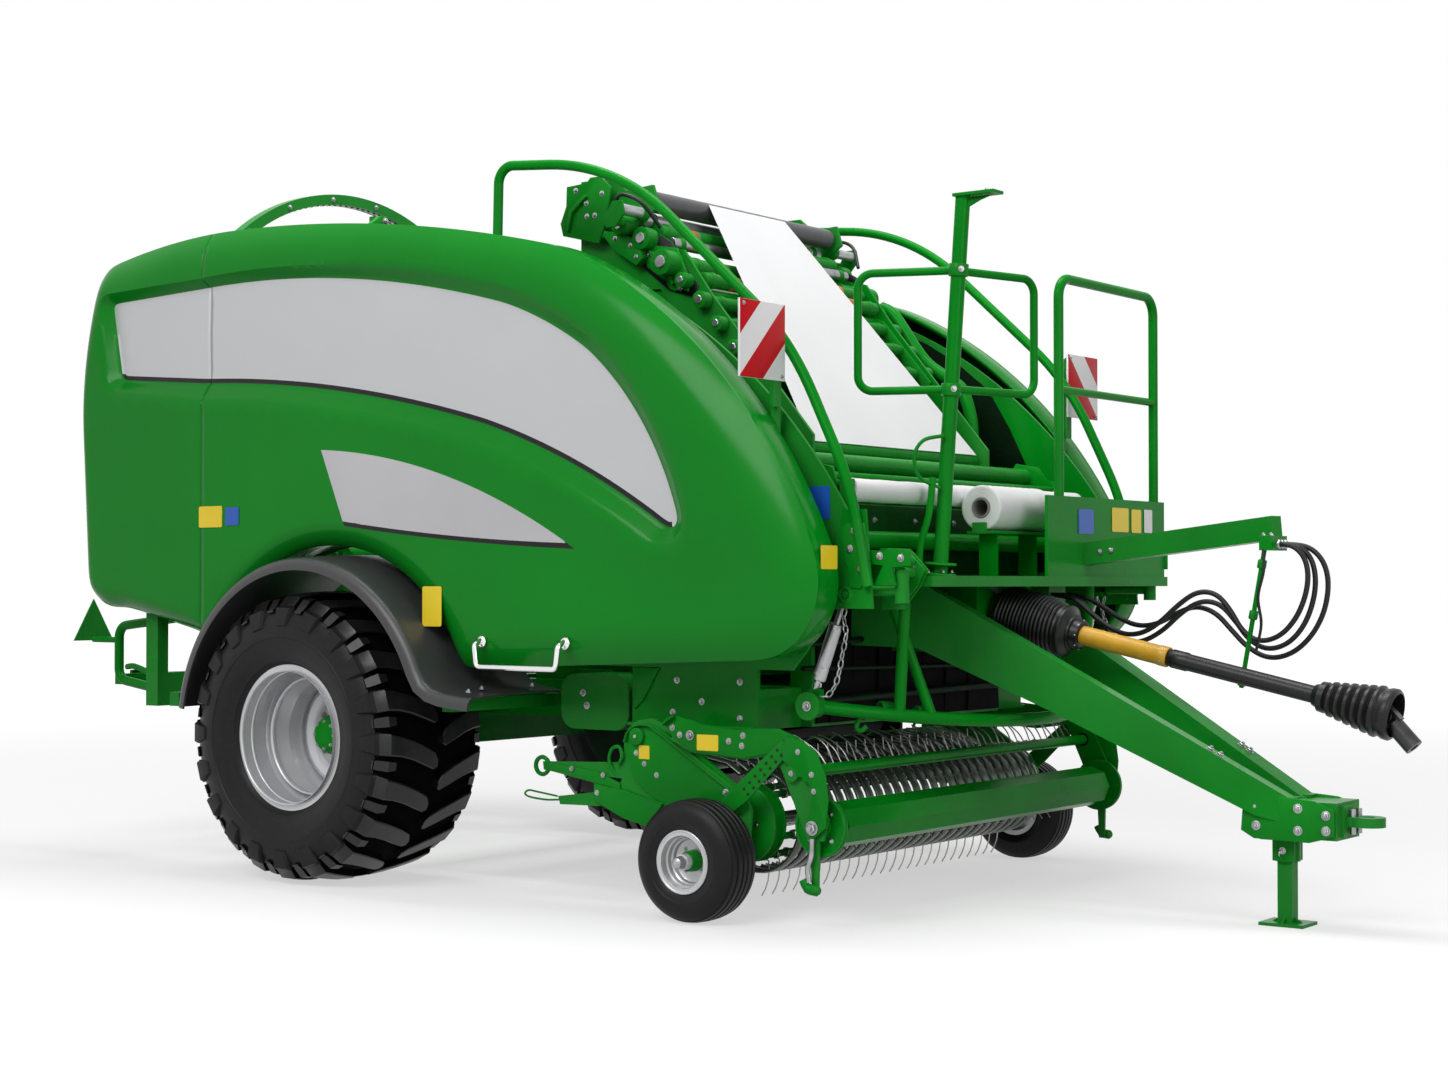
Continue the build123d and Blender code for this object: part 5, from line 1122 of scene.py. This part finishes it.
for y in (-0.905, -0.93):
    catch.prism([(x, y, z) for x, z in ((2.56, 1.245), (2.56, 1.33), (2.6, 1.38), (2.72, 1.37), (2.79, 1.3),
                                        (2.76, 1.245), (2.7, 1.175), (2.65, 1.17))], RIGHT, 0.008, 0, 0.002)
for x, z in ((2.6, 1.33), (2.74, 1.315), (2.68, 1.215), (2.65, 1.3)):
    catch.bolt((x, -0.938, z), RIGHT, 0.011)
for x in (2.462, 2.48, 2.498):
    catch.hoop((x, -0.915, 1.318), AHEAD, 0.034, 0.0085, 0, 24, 10)
catch.tube([(2.44, -0.915, 1.318), (2.56, -0.915, 1.318)], 0.02, 18)
catch.pipe([
    (2.52, -0.925, 1.352), (2.6, -0.96, 1.352), (2.7, -0.97, 1.35), (2.745, -0.955, 1.338),
    (2.735, -0.94, 1.31)], 0.012)
catch.box((2.585, -0.905, 1.155), (2.655, -0.838, 1.238), 0, 0.006)
catch.make("mast_catch")

guard = Shape()
for guard.side in (-1, 1):
    for x, y, z in ((2.487, 0.725, 0.775), (2.565, 0.595, 0.755)):
        guard.lathe([
            (0, 0.026), (0, 0.033), (0.004, 0.035), (0.044, 0.035), (0.048, 0.033), (0.048, 0.026)],
            (x - 0.012, y + 0.022, z + 0.002), (0.48, -0.87, -0.08), 24)
    guard.lathe([
        (0, 0.0), (0, 0.049), (0.003, 0.052), (0.01, 0.052), (0.01, 0.0)], (2.35, 1.0352, 0.8), OUT, 32)
    guard.bolt((2.35, 1.0455, 0.8), OUT, 0.014)
    guard.pipe([
        (2.455, 0.85, 0.756), (2.448, 0.862, 0.72), (2.47, 0.868, 0.705), (2.492, 0.862, 0.722)], 0.009, 10)
guard.make("guard_bar_fittings")

# ---- film mechanism over the chamber ----
top = Shape()
for top.side in (-1, 1):
    top.plate((
        (0.933, 2.904), (1.045, 2.908), (1.059, 2.93), (1.112, 2.93), (1.171, 2.879), (1.141, 2.731),
        (1.105, 2.653), (0.913, 2.7), (0.899, 2.753), (0.933, 2.822)), 0.735, 0.01)
    top.plate((
        (0.94, 2.72), (0.96, 2.8), (1.04, 2.86), (1.05, 2.85), (0.975, 2.792), (0.955, 2.715)), 0.745,
        0.016, 0, 0.001)
    top.bolts(((0.984, 2.882), (1.124, 2.857), (1.041, 2.825), (1.044, 2.77), (1.086, 2.77)), 0.745)
    for x, z in ((0.96, 2.87), (1.12, 2.69), (0.93, 2.73)):
        top.bar(x, z, 0.66, 0.738, 0.016, 0, 14)
    top.plate((
        (1.11, 2.7), (1.2, 2.69), (1.3, 2.65), (1.335, 2.575), (1.3, 2.545), (1.18, 2.62)), 0.7, 0.04, 0,
        0.004)
    top.plate((
        (1.3, 2.601), (1.369, 2.625), (1.48, 2.606), (1.54, 2.482), (1.536, 2.425), (1.463, 2.45),
        (1.33, 2.54)), 0.69, 0.014, 0, 0.003)
    top.plate(((1.35, 2.6), (1.362, 2.604), (1.48, 2.462), (1.47, 2.455)), 0.704, 0.02, 0, 0.001)
    top.bolts(((1.19, 2.665), (1.27, 2.63), (1.3, 2.58)), 0.74, 0.008)
    top.bolts(((1.34, 2.59), (1.44, 2.59), (1.515, 2.47), (1.5, 2.44), (1.4, 2.53)), 0.704, 0.008)
    for x, z, r in ((1.21, 2.7, 0.032), (1.26, 2.655, 0.03), (1.42, 2.56, 0.04), (1.47, 2.48, 0.045)):
        top.bar(x, z, 0.56, 0.7, r, 0, 24)
    top.plate(((1.56, 2.44), (1.6, 2.43), (1.85, 2.14), (1.83, 2.1), (1.56, 2.39)), 0.652, 0.01)
    top.bolts(((1.59, 2.4), (1.69, 2.29), (1.79, 2.17)), 0.6825, 0.01)
    top.plate((
        (1.15, 2.7), (1.215, 2.765), (1.33, 2.7), (1.44, 2.64), (1.58, 2.45), (1.56, 2.4), (1.43, 2.44),
        (1.27, 2.56)), 0.6855, 0.004, 5, 0.001)
    for x, z, r, reach in (
            (1.235, 2.715, 0.04, 0.775), (1.33, 2.655, 0.046, 0.75), (1.452, 2.545, 0.052, 0.775),
            (1.53, 2.47, 0.03, 0.745), (1.615, 2.385, 0.034, 0.735), (1.7, 2.285, 0.03, 0.735),
            (1.785, 2.185, 0.03, 0.735)):
        top.bar(x, z, 0.684, reach, r, 0, 24)
        top.bar(x, z, reach, reach + 0.006, r * 0.5, 1, 16)
    top.bar(1.3, 2.765, 0.69, 0.86, 0.022, 2)
    top.bar(1.3, 2.765, 0.68, 0.712, 0.032)
    top.bar(1.255, 2.72, 0.69, 0.83, 0.017)
    top.plate((
        (1.275, 2.795), (1.325, 2.795), (1.335, 2.74), (1.29, 2.69), (1.24, 2.69), (1.235, 2.735)), 0.852,
        0.012)
    top.pipe([(1.18, 0.74, 2.8), (1.27, 0.8, 2.83), (1.36, 0.78, 2.79), (1.42, 0.73, 2.69)], 0.008, 10, 5)
ROLLS = ((1.25, 2.752, 0.03, 2), (1.33, 2.69, 0.036, 0), (1.405, 2.64, 0.024, 1), (1.48, 2.54, 0.036, 0),
         (1.56, 2.48, 0.03, 0), (1.605, 2.385, 0.027, 0), (1.69, 2.29, 0.024, 0), (1.77, 2.18, 0.024, 0))
for x, z, r, tone in ROLLS:
    top.bar(x, z, -0.64, 0.64, r, tone, 28)
    for top.side in (-1, 1):
        for start, length, grow, mat in (
                (0.6, 0.03, 0.004, 0), (0.47, 0.07, 0.0006, 3), (0.42, 0.035, 0.0004, 4)):
            if tone == 0 or mat == 0:
                top.bar(x, z, start - length, start, r + grow, mat, 28)
top.make("film_mechanism", "chassis", [PAINT, STEEL, RIM, RUST, WORN, TRIM])

rollers = Shape()
span = 0.667  # half the rollers' length
for (x, z), mat in ((WEB_TOP, 0), (WEB_BOTTOM, 1)):
    profile = [(0, 0.0), (0, 0.018), (0.02, 0.018), (0.02, 0.04), (0.024, 0.0448)]
    profile += [(0.03 + 0.06 * k, 0.0448 - 0.0006 * (k % 2)) for k in range(21)]
    profile += [(2 * span - d, r) for d, r in reversed(profile[:5])]
    rollers.lathe(profile, (x, -span, z), ACROSS, 40, mat)
rollers.make("film_rollers", "chassis", [ROLLER, PAINT], "roller_dark", stands_for="web_rollers")

low = Shape()
for x, z, r, a, b, mat in ((2.19, 1.72, 0.034, -0.9, 0.9, 0), (2.24, 1.64, 0.018, -0.95, 0.95, 0),
                           (2.32, 1.66, 0.014, -0.88, 0.93, 0), (2.13, 1.65, 0.024, -0.93, 0.93, 0)):
    low.bar(x, z, a, b, r, mat, 24)
for low.side in (-1, 1):
    low.plate((
        (2.09, 1.6), (2.09, 1.7), (2.15, 1.78), (2.26, 1.76), (2.3, 1.7), (2.36, 1.69), (2.38, 1.63),
        (2.3, 1.56)), 0.88, 0.012, 0, 0.003)
    low.bolts(((2.19, 1.72), (2.24, 1.64), (2.32, 1.66)), 0.892, 0.011)
    low.tube([(2.2, 0.885, 1.6), (2.2, 0.885, 1.285)], 0.022, 16)
    low.bar(2.13, 1.68, 0.882, 1.038, 0.02, 0, 18)
for y in (-0.7, -0.32, 0.08, 0.46, 0.82):
    low.box((2.205, y - 0.015, 1.625), (2.33, y + 0.015, 1.64), 0, 0.003)
    low.bolt((2.3, y, 1.64), UP, 0.008)
# two boards under the platform in the dark inner paint: painted shade for the shadow there
low.box((2.25, -0.86, 1.44), (2.262, 0.9, 1.56), 2, 0.003)
low.box((2.17, -0.87, 1.285), (2.19, 0.9, 1.42), 2, 0.004)
for y in (-0.75, -0.45, -0.15, 0.15, 0.45, 0.75):
    low.bolt((2.262, y, 1.5), AHEAD, 0.009)
low.pipe([(x, 0.8, z) for x, z in (
    (1.5, 2.51), (1.573, 2.462), (1.726, 2.257), (1.862, 2.16), (1.929, 2.103), (1.974, 1.954),
    (1.964, 1.786), (1.9, 1.6))], 0.028, 16)
low.make("film_cutter", "chassis", [PAINT, STEEL, INNER_PAINT_AND_SHADE])

# ---- power take-off guards ----
PTO_WAY = Vector((1, 0, -0.217)).normalized()
PTO_AT = place(2.75, 0, 1.09)


def screws_round(shape, along, radius, count, size, start=0.0):
    """Screws round the shaft's guard, a distance along it."""
    for c, s in circle(count, 1.0, start):
        out = ACROSS * c + PTO_WAY.cross(ACROSS) * s
        shape.bolt(PTO_AT + PTO_WAY * along + out * radius, out, size)


boot = [(-0.17, 0.08), (-0.168, 0.11), (-0.162, 0.114)]
for fold in range(16):
    spot = -0.155 + 0.0165 * fold
    r = 0.1215 - 0.0016 * max(0, fold - 9) ** 1.4
    boot += [(spot, r - 0.006), (spot + 0.004, r), (spot + 0.009, r + 0.0006), (spot + 0.0125, r - 0.001)]
boot += [
    (0.112, 0.1), (0.118, 0.103), (0.126, 0.102), (0.13, 0.092), (0.14, 0.08), (0.146, 0.07), (0.15, 0.071),
    (0.156, 0.068), (0.158, 0.058), (0.176, 0.054), (0.178, 0.057), (0.188, 0.056), (0.19, 0.05),
    (0.19, 0.038)]
skirt = Shape()
skirt.lathe(boot, PTO_AT, PTO_WAY, 72)
screws_round(skirt, 0.183, 0.0565, 8, 0.003)
skirt.make("ribbed_boot", "chassis", [BLACK, STEEL], "guard_black", 50, "pto_boot")

tube = Shape()
tube.lathe([(0.16, 0.0), (0.16, 0.0375), (0.52, 0.0375), (0.524, 0.0395), (0.56, 0.0395), (0.563, 0.0375),
            (0.563, 0.0325)], PTO_AT, PTO_WAY, 40)
screws_round(tube, 0.542, 0.0392, 4, 0.0035, 0.5)
tube.make("yellow_guard", "chassis", [YELLOW, STEEL], "guard_yellow", stands_for="pto_tube")

bell = [(0.4, 0.0), (0.4, 0.032), (0.575, 0.0325), (0.58, 0.036), (0.64, 0.036), (0.648, 0.0325),
        (1.15, 0.0325), (1.154, 0.04), (1.172, 0.046), (1.178, 0.056), (1.2, 0.058), (1.206, 0.05)]
for fold in range(6):
    spot, r = 1.214 + 0.034 * fold, 0.056 + 0.0058 * fold
    bell += [(spot, r), (spot + 0.006, r + 0.009), (spot + 0.016, r + 0.01), (spot + 0.024, r + 0.001)]
bell += [
    (1.424, 0.09), (1.432, 0.094), (1.452, 0.095), (1.458, 0.09), (1.462, 0.08), (1.44, 0.076),
    (1.3, 0.058), (1.22, 0.04), (1.2, 0.028)]
cone = Shape()
cone.lathe(bell, PTO_AT, PTO_WAY, 72)
cone.make("ribbed_cone", "chassis", [BLACK], "guard_black", 50, "pto_guard")

# ---- drawbar tip and jack ----
tip = Shape()
for tip.side in (-1, 1):
    tip.prism([(x, 0.1105, z) for x, z in (
        (3.65, 0.47), (3.7, 0.486), (3.92, 0.47), (3.995, 0.44), (3.995, 0.345), (3.9, 0.318),
        (3.69, 0.322), (3.64, 0.35))], OUT, 0.01, 0, 0.002)
    for x, z in ((3.7, 0.44), (3.7, 0.37), (3.86, 0.44), (3.86, 0.36), (3.965, 0.42), (3.965, 0.365)):
        tip.bolt((x, 0.1205, z), OUT, 0.013)
    tip.tube([(4.03, 0.03, 0.44), (4.03, 0.03, 0.35)], 0.011, 12, 1)
    for x in (3.53, 3.565):
        tip.bolt((
            x, 0.397 - 0.2 * (x - 2.4) - 0.03, 1.195 - 0.563 * (x - 2.535) + 0.002), (0.49, 0, 0.87), 0.013)
    tip.box((3.7, 0.045, 0.465), (3.84, 0.105, 0.477))
tip.hoop((4.075, 0, 0.397), UP, 0.046, 0.0165, 0, 40, 12)
tip.make("hitch_plates")

collar = Shape()
JACK_X, hole, sleeve = 3.77, 0.0288, 0.042
for low, high in ((-sleeve, -hole), (hole, sleeve)):
    collar.box((JACK_X - sleeve, low, 0.236), (JACK_X + sleeve, high, 0.318))
    collar.box((JACK_X + low, -hole, 0.236), (JACK_X + high, hole, 0.318))
collar.bolt((JACK_X, -0.047, 0.275), RIGHT, 0.01)
collar.hoop((JACK_X, -0.066, 0.267), AHEAD, 0.012, 0.0022, 1, 20, 6)
collar.make("jack_collar")
foot = Shape()
for dx, dy in ((1, 0), (-1, 0), (0, 1), (0, -1)):
    out = Vector((dx, dy, 0))
    across = Vector((-dy, dx, 0)) * 0.004
    root = place(JACK_X, 0, 0) + out * 0.028
    foot.prism([root + Vector((0, 0, 0.012)) - across, root + out * 0.03 + Vector((0, 0, 0.012)) - across,
                root + Vector((0, 0, 0.03)) - across], (-dy, dx, 0), 0.008, 0, 0.001)
foot.make("jack_fittings", "jack")

# ---- hose arm ----
arm = Shape()
start, end = Vector((2.785, 0.33, 1.37)), Vector((3.68, 0.13, 1.46))
way = (end - start).normalized()
out = way.cross(UP).normalized()
for t in (0.1, 0.16):
    arm.bolt(place(*(start + (end - start) * t + out * 0.0302)), out, 0.01)
for x in (3.65, 3.68):
    arm.bolt((x, 0.075, 1.4302), UP, 0.008)
for y in (0.118, 0.148, 0.178):
    arm.lathe([(0, 0.0), (0, 0.016), (0.004, 0.018), (0.04, 0.018), (0.044, 0.016), (0.044, 0.0)],
              (3.655, y, 1.398), AHEAD, 6, 1)
for z in (1.34, 1.15, 0.9):
    share = (1.38 - z) / 0.52
    spot = (3.655 - 0.095 * share, 0.072, z)
    arm.lathe([
        (0, 0.0), (0, 0.014), (0.004, 0.017), (0.03, 0.017), (0.034, 0.014), (0.034, 0.0)], spot,
        (-0.18, 0, -0.98), 16)
arm.pipe([
    (3.655, 0.06, 1.38), (3.665, 0.04, 1.3), (3.64, 0.045, 1.2), (3.65, 0.05, 1.1), (3.625, 0.06, 1.0)],
    0.006, 8, 2)
arm.make("hose_arm_fittings", "chassis", [PAINT, STEEL, HOSE])

# ---- hinges, handles and other parts of the doors ----
for word, side in SIDES:
    body = word + "_door"
    hinge = Shape(side)
    axis_y, axis_z = 1.05, 2.792
    for x, crest in ((-0.45, 2.788), (0.15, 2.756)):
        hinge.prism([(x, y, z) for y, z in (
            (1.028, 2.77), (1.028, 2.814), (1.072, 2.814), (1.16, crest - 0.004), (1.16, crest - 0.03),
            (1.13, crest - 0.03), (1.072, 2.77))], AHEAD, 0.03, 0, 0.003)
        hinge.lathe([(0, 0.0), (0, 0.0115), (0.049, 0.0115), (0.05, 0.0)], (x - 0.05, axis_y, axis_z),
                    AHEAD, 16, 1)
        hinge.bolt((x + 0.03, axis_y, axis_z), AHEAD)
    hinge.make(word + "_hinge_arms", body)
    pads = Shape(side)
    for x in (1.0, 1.43):
        pads.lathe([(0, 0.0), (0, 0.022), (0.003, 0.024), (0.006, 0.022), (0.01, 0.014), (0.01, 0.0)],
                   (x, 1.3345, 1.022), (0, 1, 0.1), 24)
    pads.make(word + "_handle_pads", body, [CHROME], "handle_steel", 50)
    vents = Shape(side)
    for x, z in ((0.23, 1.075), (0.55, 1.055)):
        vents.bolt((x, 1.3362, z), OUT, 0.004, 0)
    vents.make(word + "_door_screws", body, [TRIM])

# ---- under the body ----
under = Shape()
for under.side in (-1, 1):
    for x, z in ((1.215, 0.815), (1.235, 0.765)):
        under.bolt((x, 0.9702, z), OUT, 0.011)
    under.plate(((1.0, 0.9), (1.06, 0.7), (1.16, 0.66), (1.2, 0.7), (1.18, 0.9)), 0.735, 0.012, 0, 0.003)
    under.plate(((1.515, 0.925), (1.64, 0.925), (1.56, 0.8), (1.515, 0.76)), 1.0105, 0.01)
    under.plate(((1.5, 0.7), (1.5, 0.712), (2.1, 0.712), (2.1, 0.7)), 1.01, 0.034, 0, 0.001)
    under.bolts(((1.72, 0.88), (1.84, 0.8), (2.02, 0.88), (2.02, 0.74), (1.7, 0.755)), 1.0102, 0.01)
    under.bolts(((1.61, 0.665),), 1.01, 0.012)
    under.lathe([
        (0, 0.0), (0, 0.033), (0.012, 0.033), (0.014, 0.03), (0.014, 0.0)], (1.61, 1.1155, 0.665), OUT, 24)
    for x in (-0.9, -0.3, 0.5, 0.9, 1.6):
        under.bolt((x, 0.7202, 0.775), OUT)
ROTOR = (1.55, 0.76)  # the feed rotor's axis
under.rod((ROTOR[0], -0.64, ROTOR[1]), OUT, 0.049, 1.28, 20, 2)
for k in range(24):
    a = 0.55 * k
    under.prism([
        (ROTOR[0] + r * math.cos(a + d), -0.6 + k * 0.052, ROTOR[1] + r * math.sin(a + d))
        for d, r in ((-0.5, 0.045), (-0.15, 0.1), (0.15, 0.125), (0.22, 0.1), (0.5, 0.045))], OUT, 0.01, 2,
        0.001)
under.make("frame_fittings", "chassis", [PAINT, STEEL, TINE_STEEL])

# the feed channel wears the painted-shade green, dark as it looks in the shadow under the body
feed = Shape()
trough = [(1.6, 0.64), (1.53, 0.52), (1.42, 0.452), (1.22, 0.452), (1.04, 0.52), (0.965, 0.64), (0.955, 0.76)]
feed.sweep(trough, ((-0.655, 0), (0.655, 0), (0.655, 0.008), (-0.655, 0.008)))
for feed.side in (-1, 1):
    feed.plate(trough + [(1.0, 0.84), (1.64, 0.84), (1.64, 0.7)], 0.655, 0.008)
    feed.box((1.478, 0.665, 0.62), (1.496, 0.985, 0.93))
feed.box((1.478, -0.985, 0.47), (1.496, 0.985, 0.625))
feed.box((1.496, -0.985, 0.47), (1.54, 0.985, 0.482))
for k in range(15):
    y = -0.91 + 0.13 * k
    feed.box((1.496, y - 0.004, 0.482), (1.53, y + 0.004, 0.66), 0, 0.001)
feed.make("feed_channel", "chassis", [PAINTED_SHADE])
# near-black sheets just inside the side walls, painted shade: they stand for the shadow inside the open hood,
# where there is no plate
shade_sheet = Shape()
SHADED = ((0.95, 2.56), (1.25, 2.495), (1.45, 2.425), (1.6, 2.355), (1.75, 2.265), (1.92, 2.13), (2.03, 1.95),
          (2.12, 1.77), (2.2, 1.55), (2.24, 1.3), (0.95, 1.3))
for shade_sheet.side in (-1, 1):
    shade_sheet.plate(SHADED, 1.0365, 0.003, 0, 0.001)
shade_sheet.make("wall_shade_sheet", "chassis", [PAINTED_SHADE])

# a strip curtain on the bulkhead's front, near-black as painted shade: it stands for the dark space behind
# the guard bar
shade_curtain = Shape()
for k in range(16):
    y = -0.7 + k * 0.0875
    rings = []
    for z in (1.225, 1.1, 0.95, 0.8, 0.712):
        x = 2.1515 + 0.004 * (k % 2) + 0.006 * math.sin(z * 9 + k)
        rings.append([
            place(x, y, z), place(x, y + 0.09, z), place(x + 0.005, y + 0.09, z), place(x + 0.005, y, z)])
    shade_curtain.strip(rings)
shade_curtain.box((2.151, -0.7, 1.19), (2.168, 0.7, 1.228), 1)
for k in range(8):
    shade_curtain.bolt((2.168, -0.61 + k * 0.175, 1.209), AHEAD, 0.009, 2)
for x, z0, z1, r in ((2.195, 1.02, 1.07, 0.012), (2.205, 0.93, 0.9, 0.01), (2.19, 0.8, 0.82, 0.016)):
    shade_curtain.tube([(x, -0.86, z0), (x, 0.86, z1)], r, 14, 1)
shade_curtain.make("crop_shade_curtain", "chassis", [SHADE_FLAP, PAINTED_SHADE, WORN], "guard_black")

# ---- tail, table and ring ----
tail = Shape()
for tail.side in (-1, 1):
    tail.pipe([(-1.56, 1.0, 0.86), (-1.48, 1.01, 0.86), (-1.25, 1.02, 0.8)], 0.014)
    tail.bolt((-1.8085, 1.0, 0.995), BACK, 0.008)
    for z in (0.74, 0.8):
        tail.bolt((-1.1502, 1.19, z), BACK)
    tail.prism([(-1.6505, y, z) for y, z in ((0.7, 0.76), (0.9, 0.76), (0.9, 0.84), (0.7, 0.84))],
               BACK, 0.018, 3, 0.004)
    for y in (0.735, 0.8, 0.865):
        tail.lathe([(0, 0.026), (0.006, 0.026), (0.01, 0.018), (0.011, 0.0)], (-1.6685, y, 0.8),
                   BACK, 24, 2)
    for k in range(9):
        z = 0.95 + 0.19 * k
        tail.bolt((-1.1502, 1.195, z), BACK, 0.009)
for x in (-1.5, -0.72):
    for tail.side in (-1, 1):
        tail.lathe([
            (0, 0.0), (0, 0.058), (0.006, 0.062), (0.014, 0.058), (0.014, 0.0)], (x, 0.5002, 1.37), OUT, 28)
        tail.bolt((x, 0.5142, 1.37), OUT, 0.016)
tail.make("tail_fittings", "chassis", [PAINT, STEEL, RED, BLACK])

ring = Shape()
RING_Z, TEETH = 2.02, 180
for y, z in circle(24, 1.125, 0.13):
    for x, way in ((-1.1402, BACK), (-1.0798, AHEAD)):
        ring.bolt((x, y, RING_Z + z), way, 0.009)
rim = []
for k, (y, z) in enumerate(circle(TEETH * 2)):
    r = 1.1008 if k % 2 else 1.095
    rim.append([place(x, r * y, RING_Z + r * z) for x in (-1.118, -1.102)])
ring.strip(rim, 1, closed=False, loop=True)
ring.make("ring_bolts", "wrap_ring")

end = [(0.003, 0.04), (0.001, 0.046)]
end += [(0.0005 + 0.0014 * (k % 2), 0.048 + 0.0042 * k) for k in range(13)] + [(0.006, 0.1045)]
middle = [(0.006 + 0.738 * k / 20, 0.1045 - 0.0008 * (k % 3)) for k in range(1, 20)]
for word, side in SIDES:
    roll = Shape(side)
    centre = (-1.485, 0.975, RING_Z)
    roll.lathe(end + middle + [(0.75 - d, r) for d, r in end[::-1]], centre, AHEAD, 56)
    roll.lathe([
        (-0.001, 0.033), (-0.001, 0.0395), (0.751, 0.0395), (0.751, 0.033)], centre, AHEAD, 32, 1,
        loop=True)
    roll.make(word + "_ring_film", "wrap_ring", [FILM, CARD], "film_white",
              stands_for="dispenser_film" if side < 0 else None)

# ---- floor and light ----
floor_mesh = bpy.data.meshes.new("floor")
floor_mesh.from_pydata([(-60, -60, 0), (60, -60, 0), (60, 60, 0), (-60, 60, 0)], [], [(0, 1, 2, 3)])
floor_piece = bpy.data.objects.new("floor", floor_mesh)
scene.collection.objects.link(floor_piece)
floor_mat = bpy.data.materials.new("floor")
floor_mat.use_nodes = True
tree = floor_mat.node_tree
plain = tree.nodes["Principled BSDF"]
for socket, value in (("Base Color", (0.42, 0.42, 0.42, 1)), ("Roughness", 0.9), ("Specular IOR Level", 0)):
    plain.inputs[socket].default_value = value


def background_rays(tree):
    """1 for the rays that show the background: camera, glossy and transmission."""
    rays = node(tree, "LightPath").outputs
    out = rays["Is Camera Ray"]
    for word in ("Is Glossy Ray", "Is Transmission Ray"):
        out = node(tree, "Math", {}, {0: out, 1: rays[word]}, operation="MAXIMUM").outputs[0]
    return out


# the floor glows a little for those rays, more so further out, and keeps the object's shadow
distance = node(tree, "VectorMath", {}, {0: node(tree, "TexCoord").outputs["Object"]}, operation="LENGTH")
spread = node(tree, "MapRange", {"From Min": 3.5, "From Max": 16, "To Min": 0.56, "To Max": 0.95},
              {"Value": distance.outputs["Value"]})
shown = node(tree, "Math", {}, {0: background_rays(tree), 1: spread.outputs["Result"]}, operation="MULTIPLY")
glow = node(tree, "Emission", {}, {"Strength": shown.outputs[0]})
both = node(tree, "AddShader", {}, {0: plain.outputs[0], 1: glow.outputs[0]})
tree.links.new(both.outputs[0], tree.nodes["Material Output"].inputs["Surface"])
floor_mesh.materials.append(floor_mat)

world = bpy.data.worlds.new("world")
world.use_nodes = True
scene.world = world
tree = world.node_tree
ground = tree.nodes["Background"]
ground.inputs["Color"].default_value = (1, 1, 1, 1)
level = node(tree, "MapRange", {"To Min": 0.3, "To Max": 1.0}, {"Value": background_rays(tree)})
tree.links.new(level.outputs["Result"], ground.inputs["Strength"])


def area_light(name, where, aim, size, power):
    data = bpy.data.lights.new(name, "AREA")
    data.shape = "RECTANGLE"
    data.size, data.size_y = size
    data.energy = power
    lamp = bpy.data.objects.new(name, data)
    scene.collection.objects.link(lamp)
    lamp.location = where
    lamp.rotation_euler = (Vector(aim) - Vector(where)).to_track_quat("-Z", "Y").to_euler()


area_light("key", (1.0, -9.0, 7.5), (0, 0, 1.2), (7, 4), 530)
area_light("top", (0, 0, 9), (0, 0, 0), (6, 3.2), 500)
area_light("front", (9, -3.0, 3.5), (1.0, 0, 1.0), (4, 4), 150)
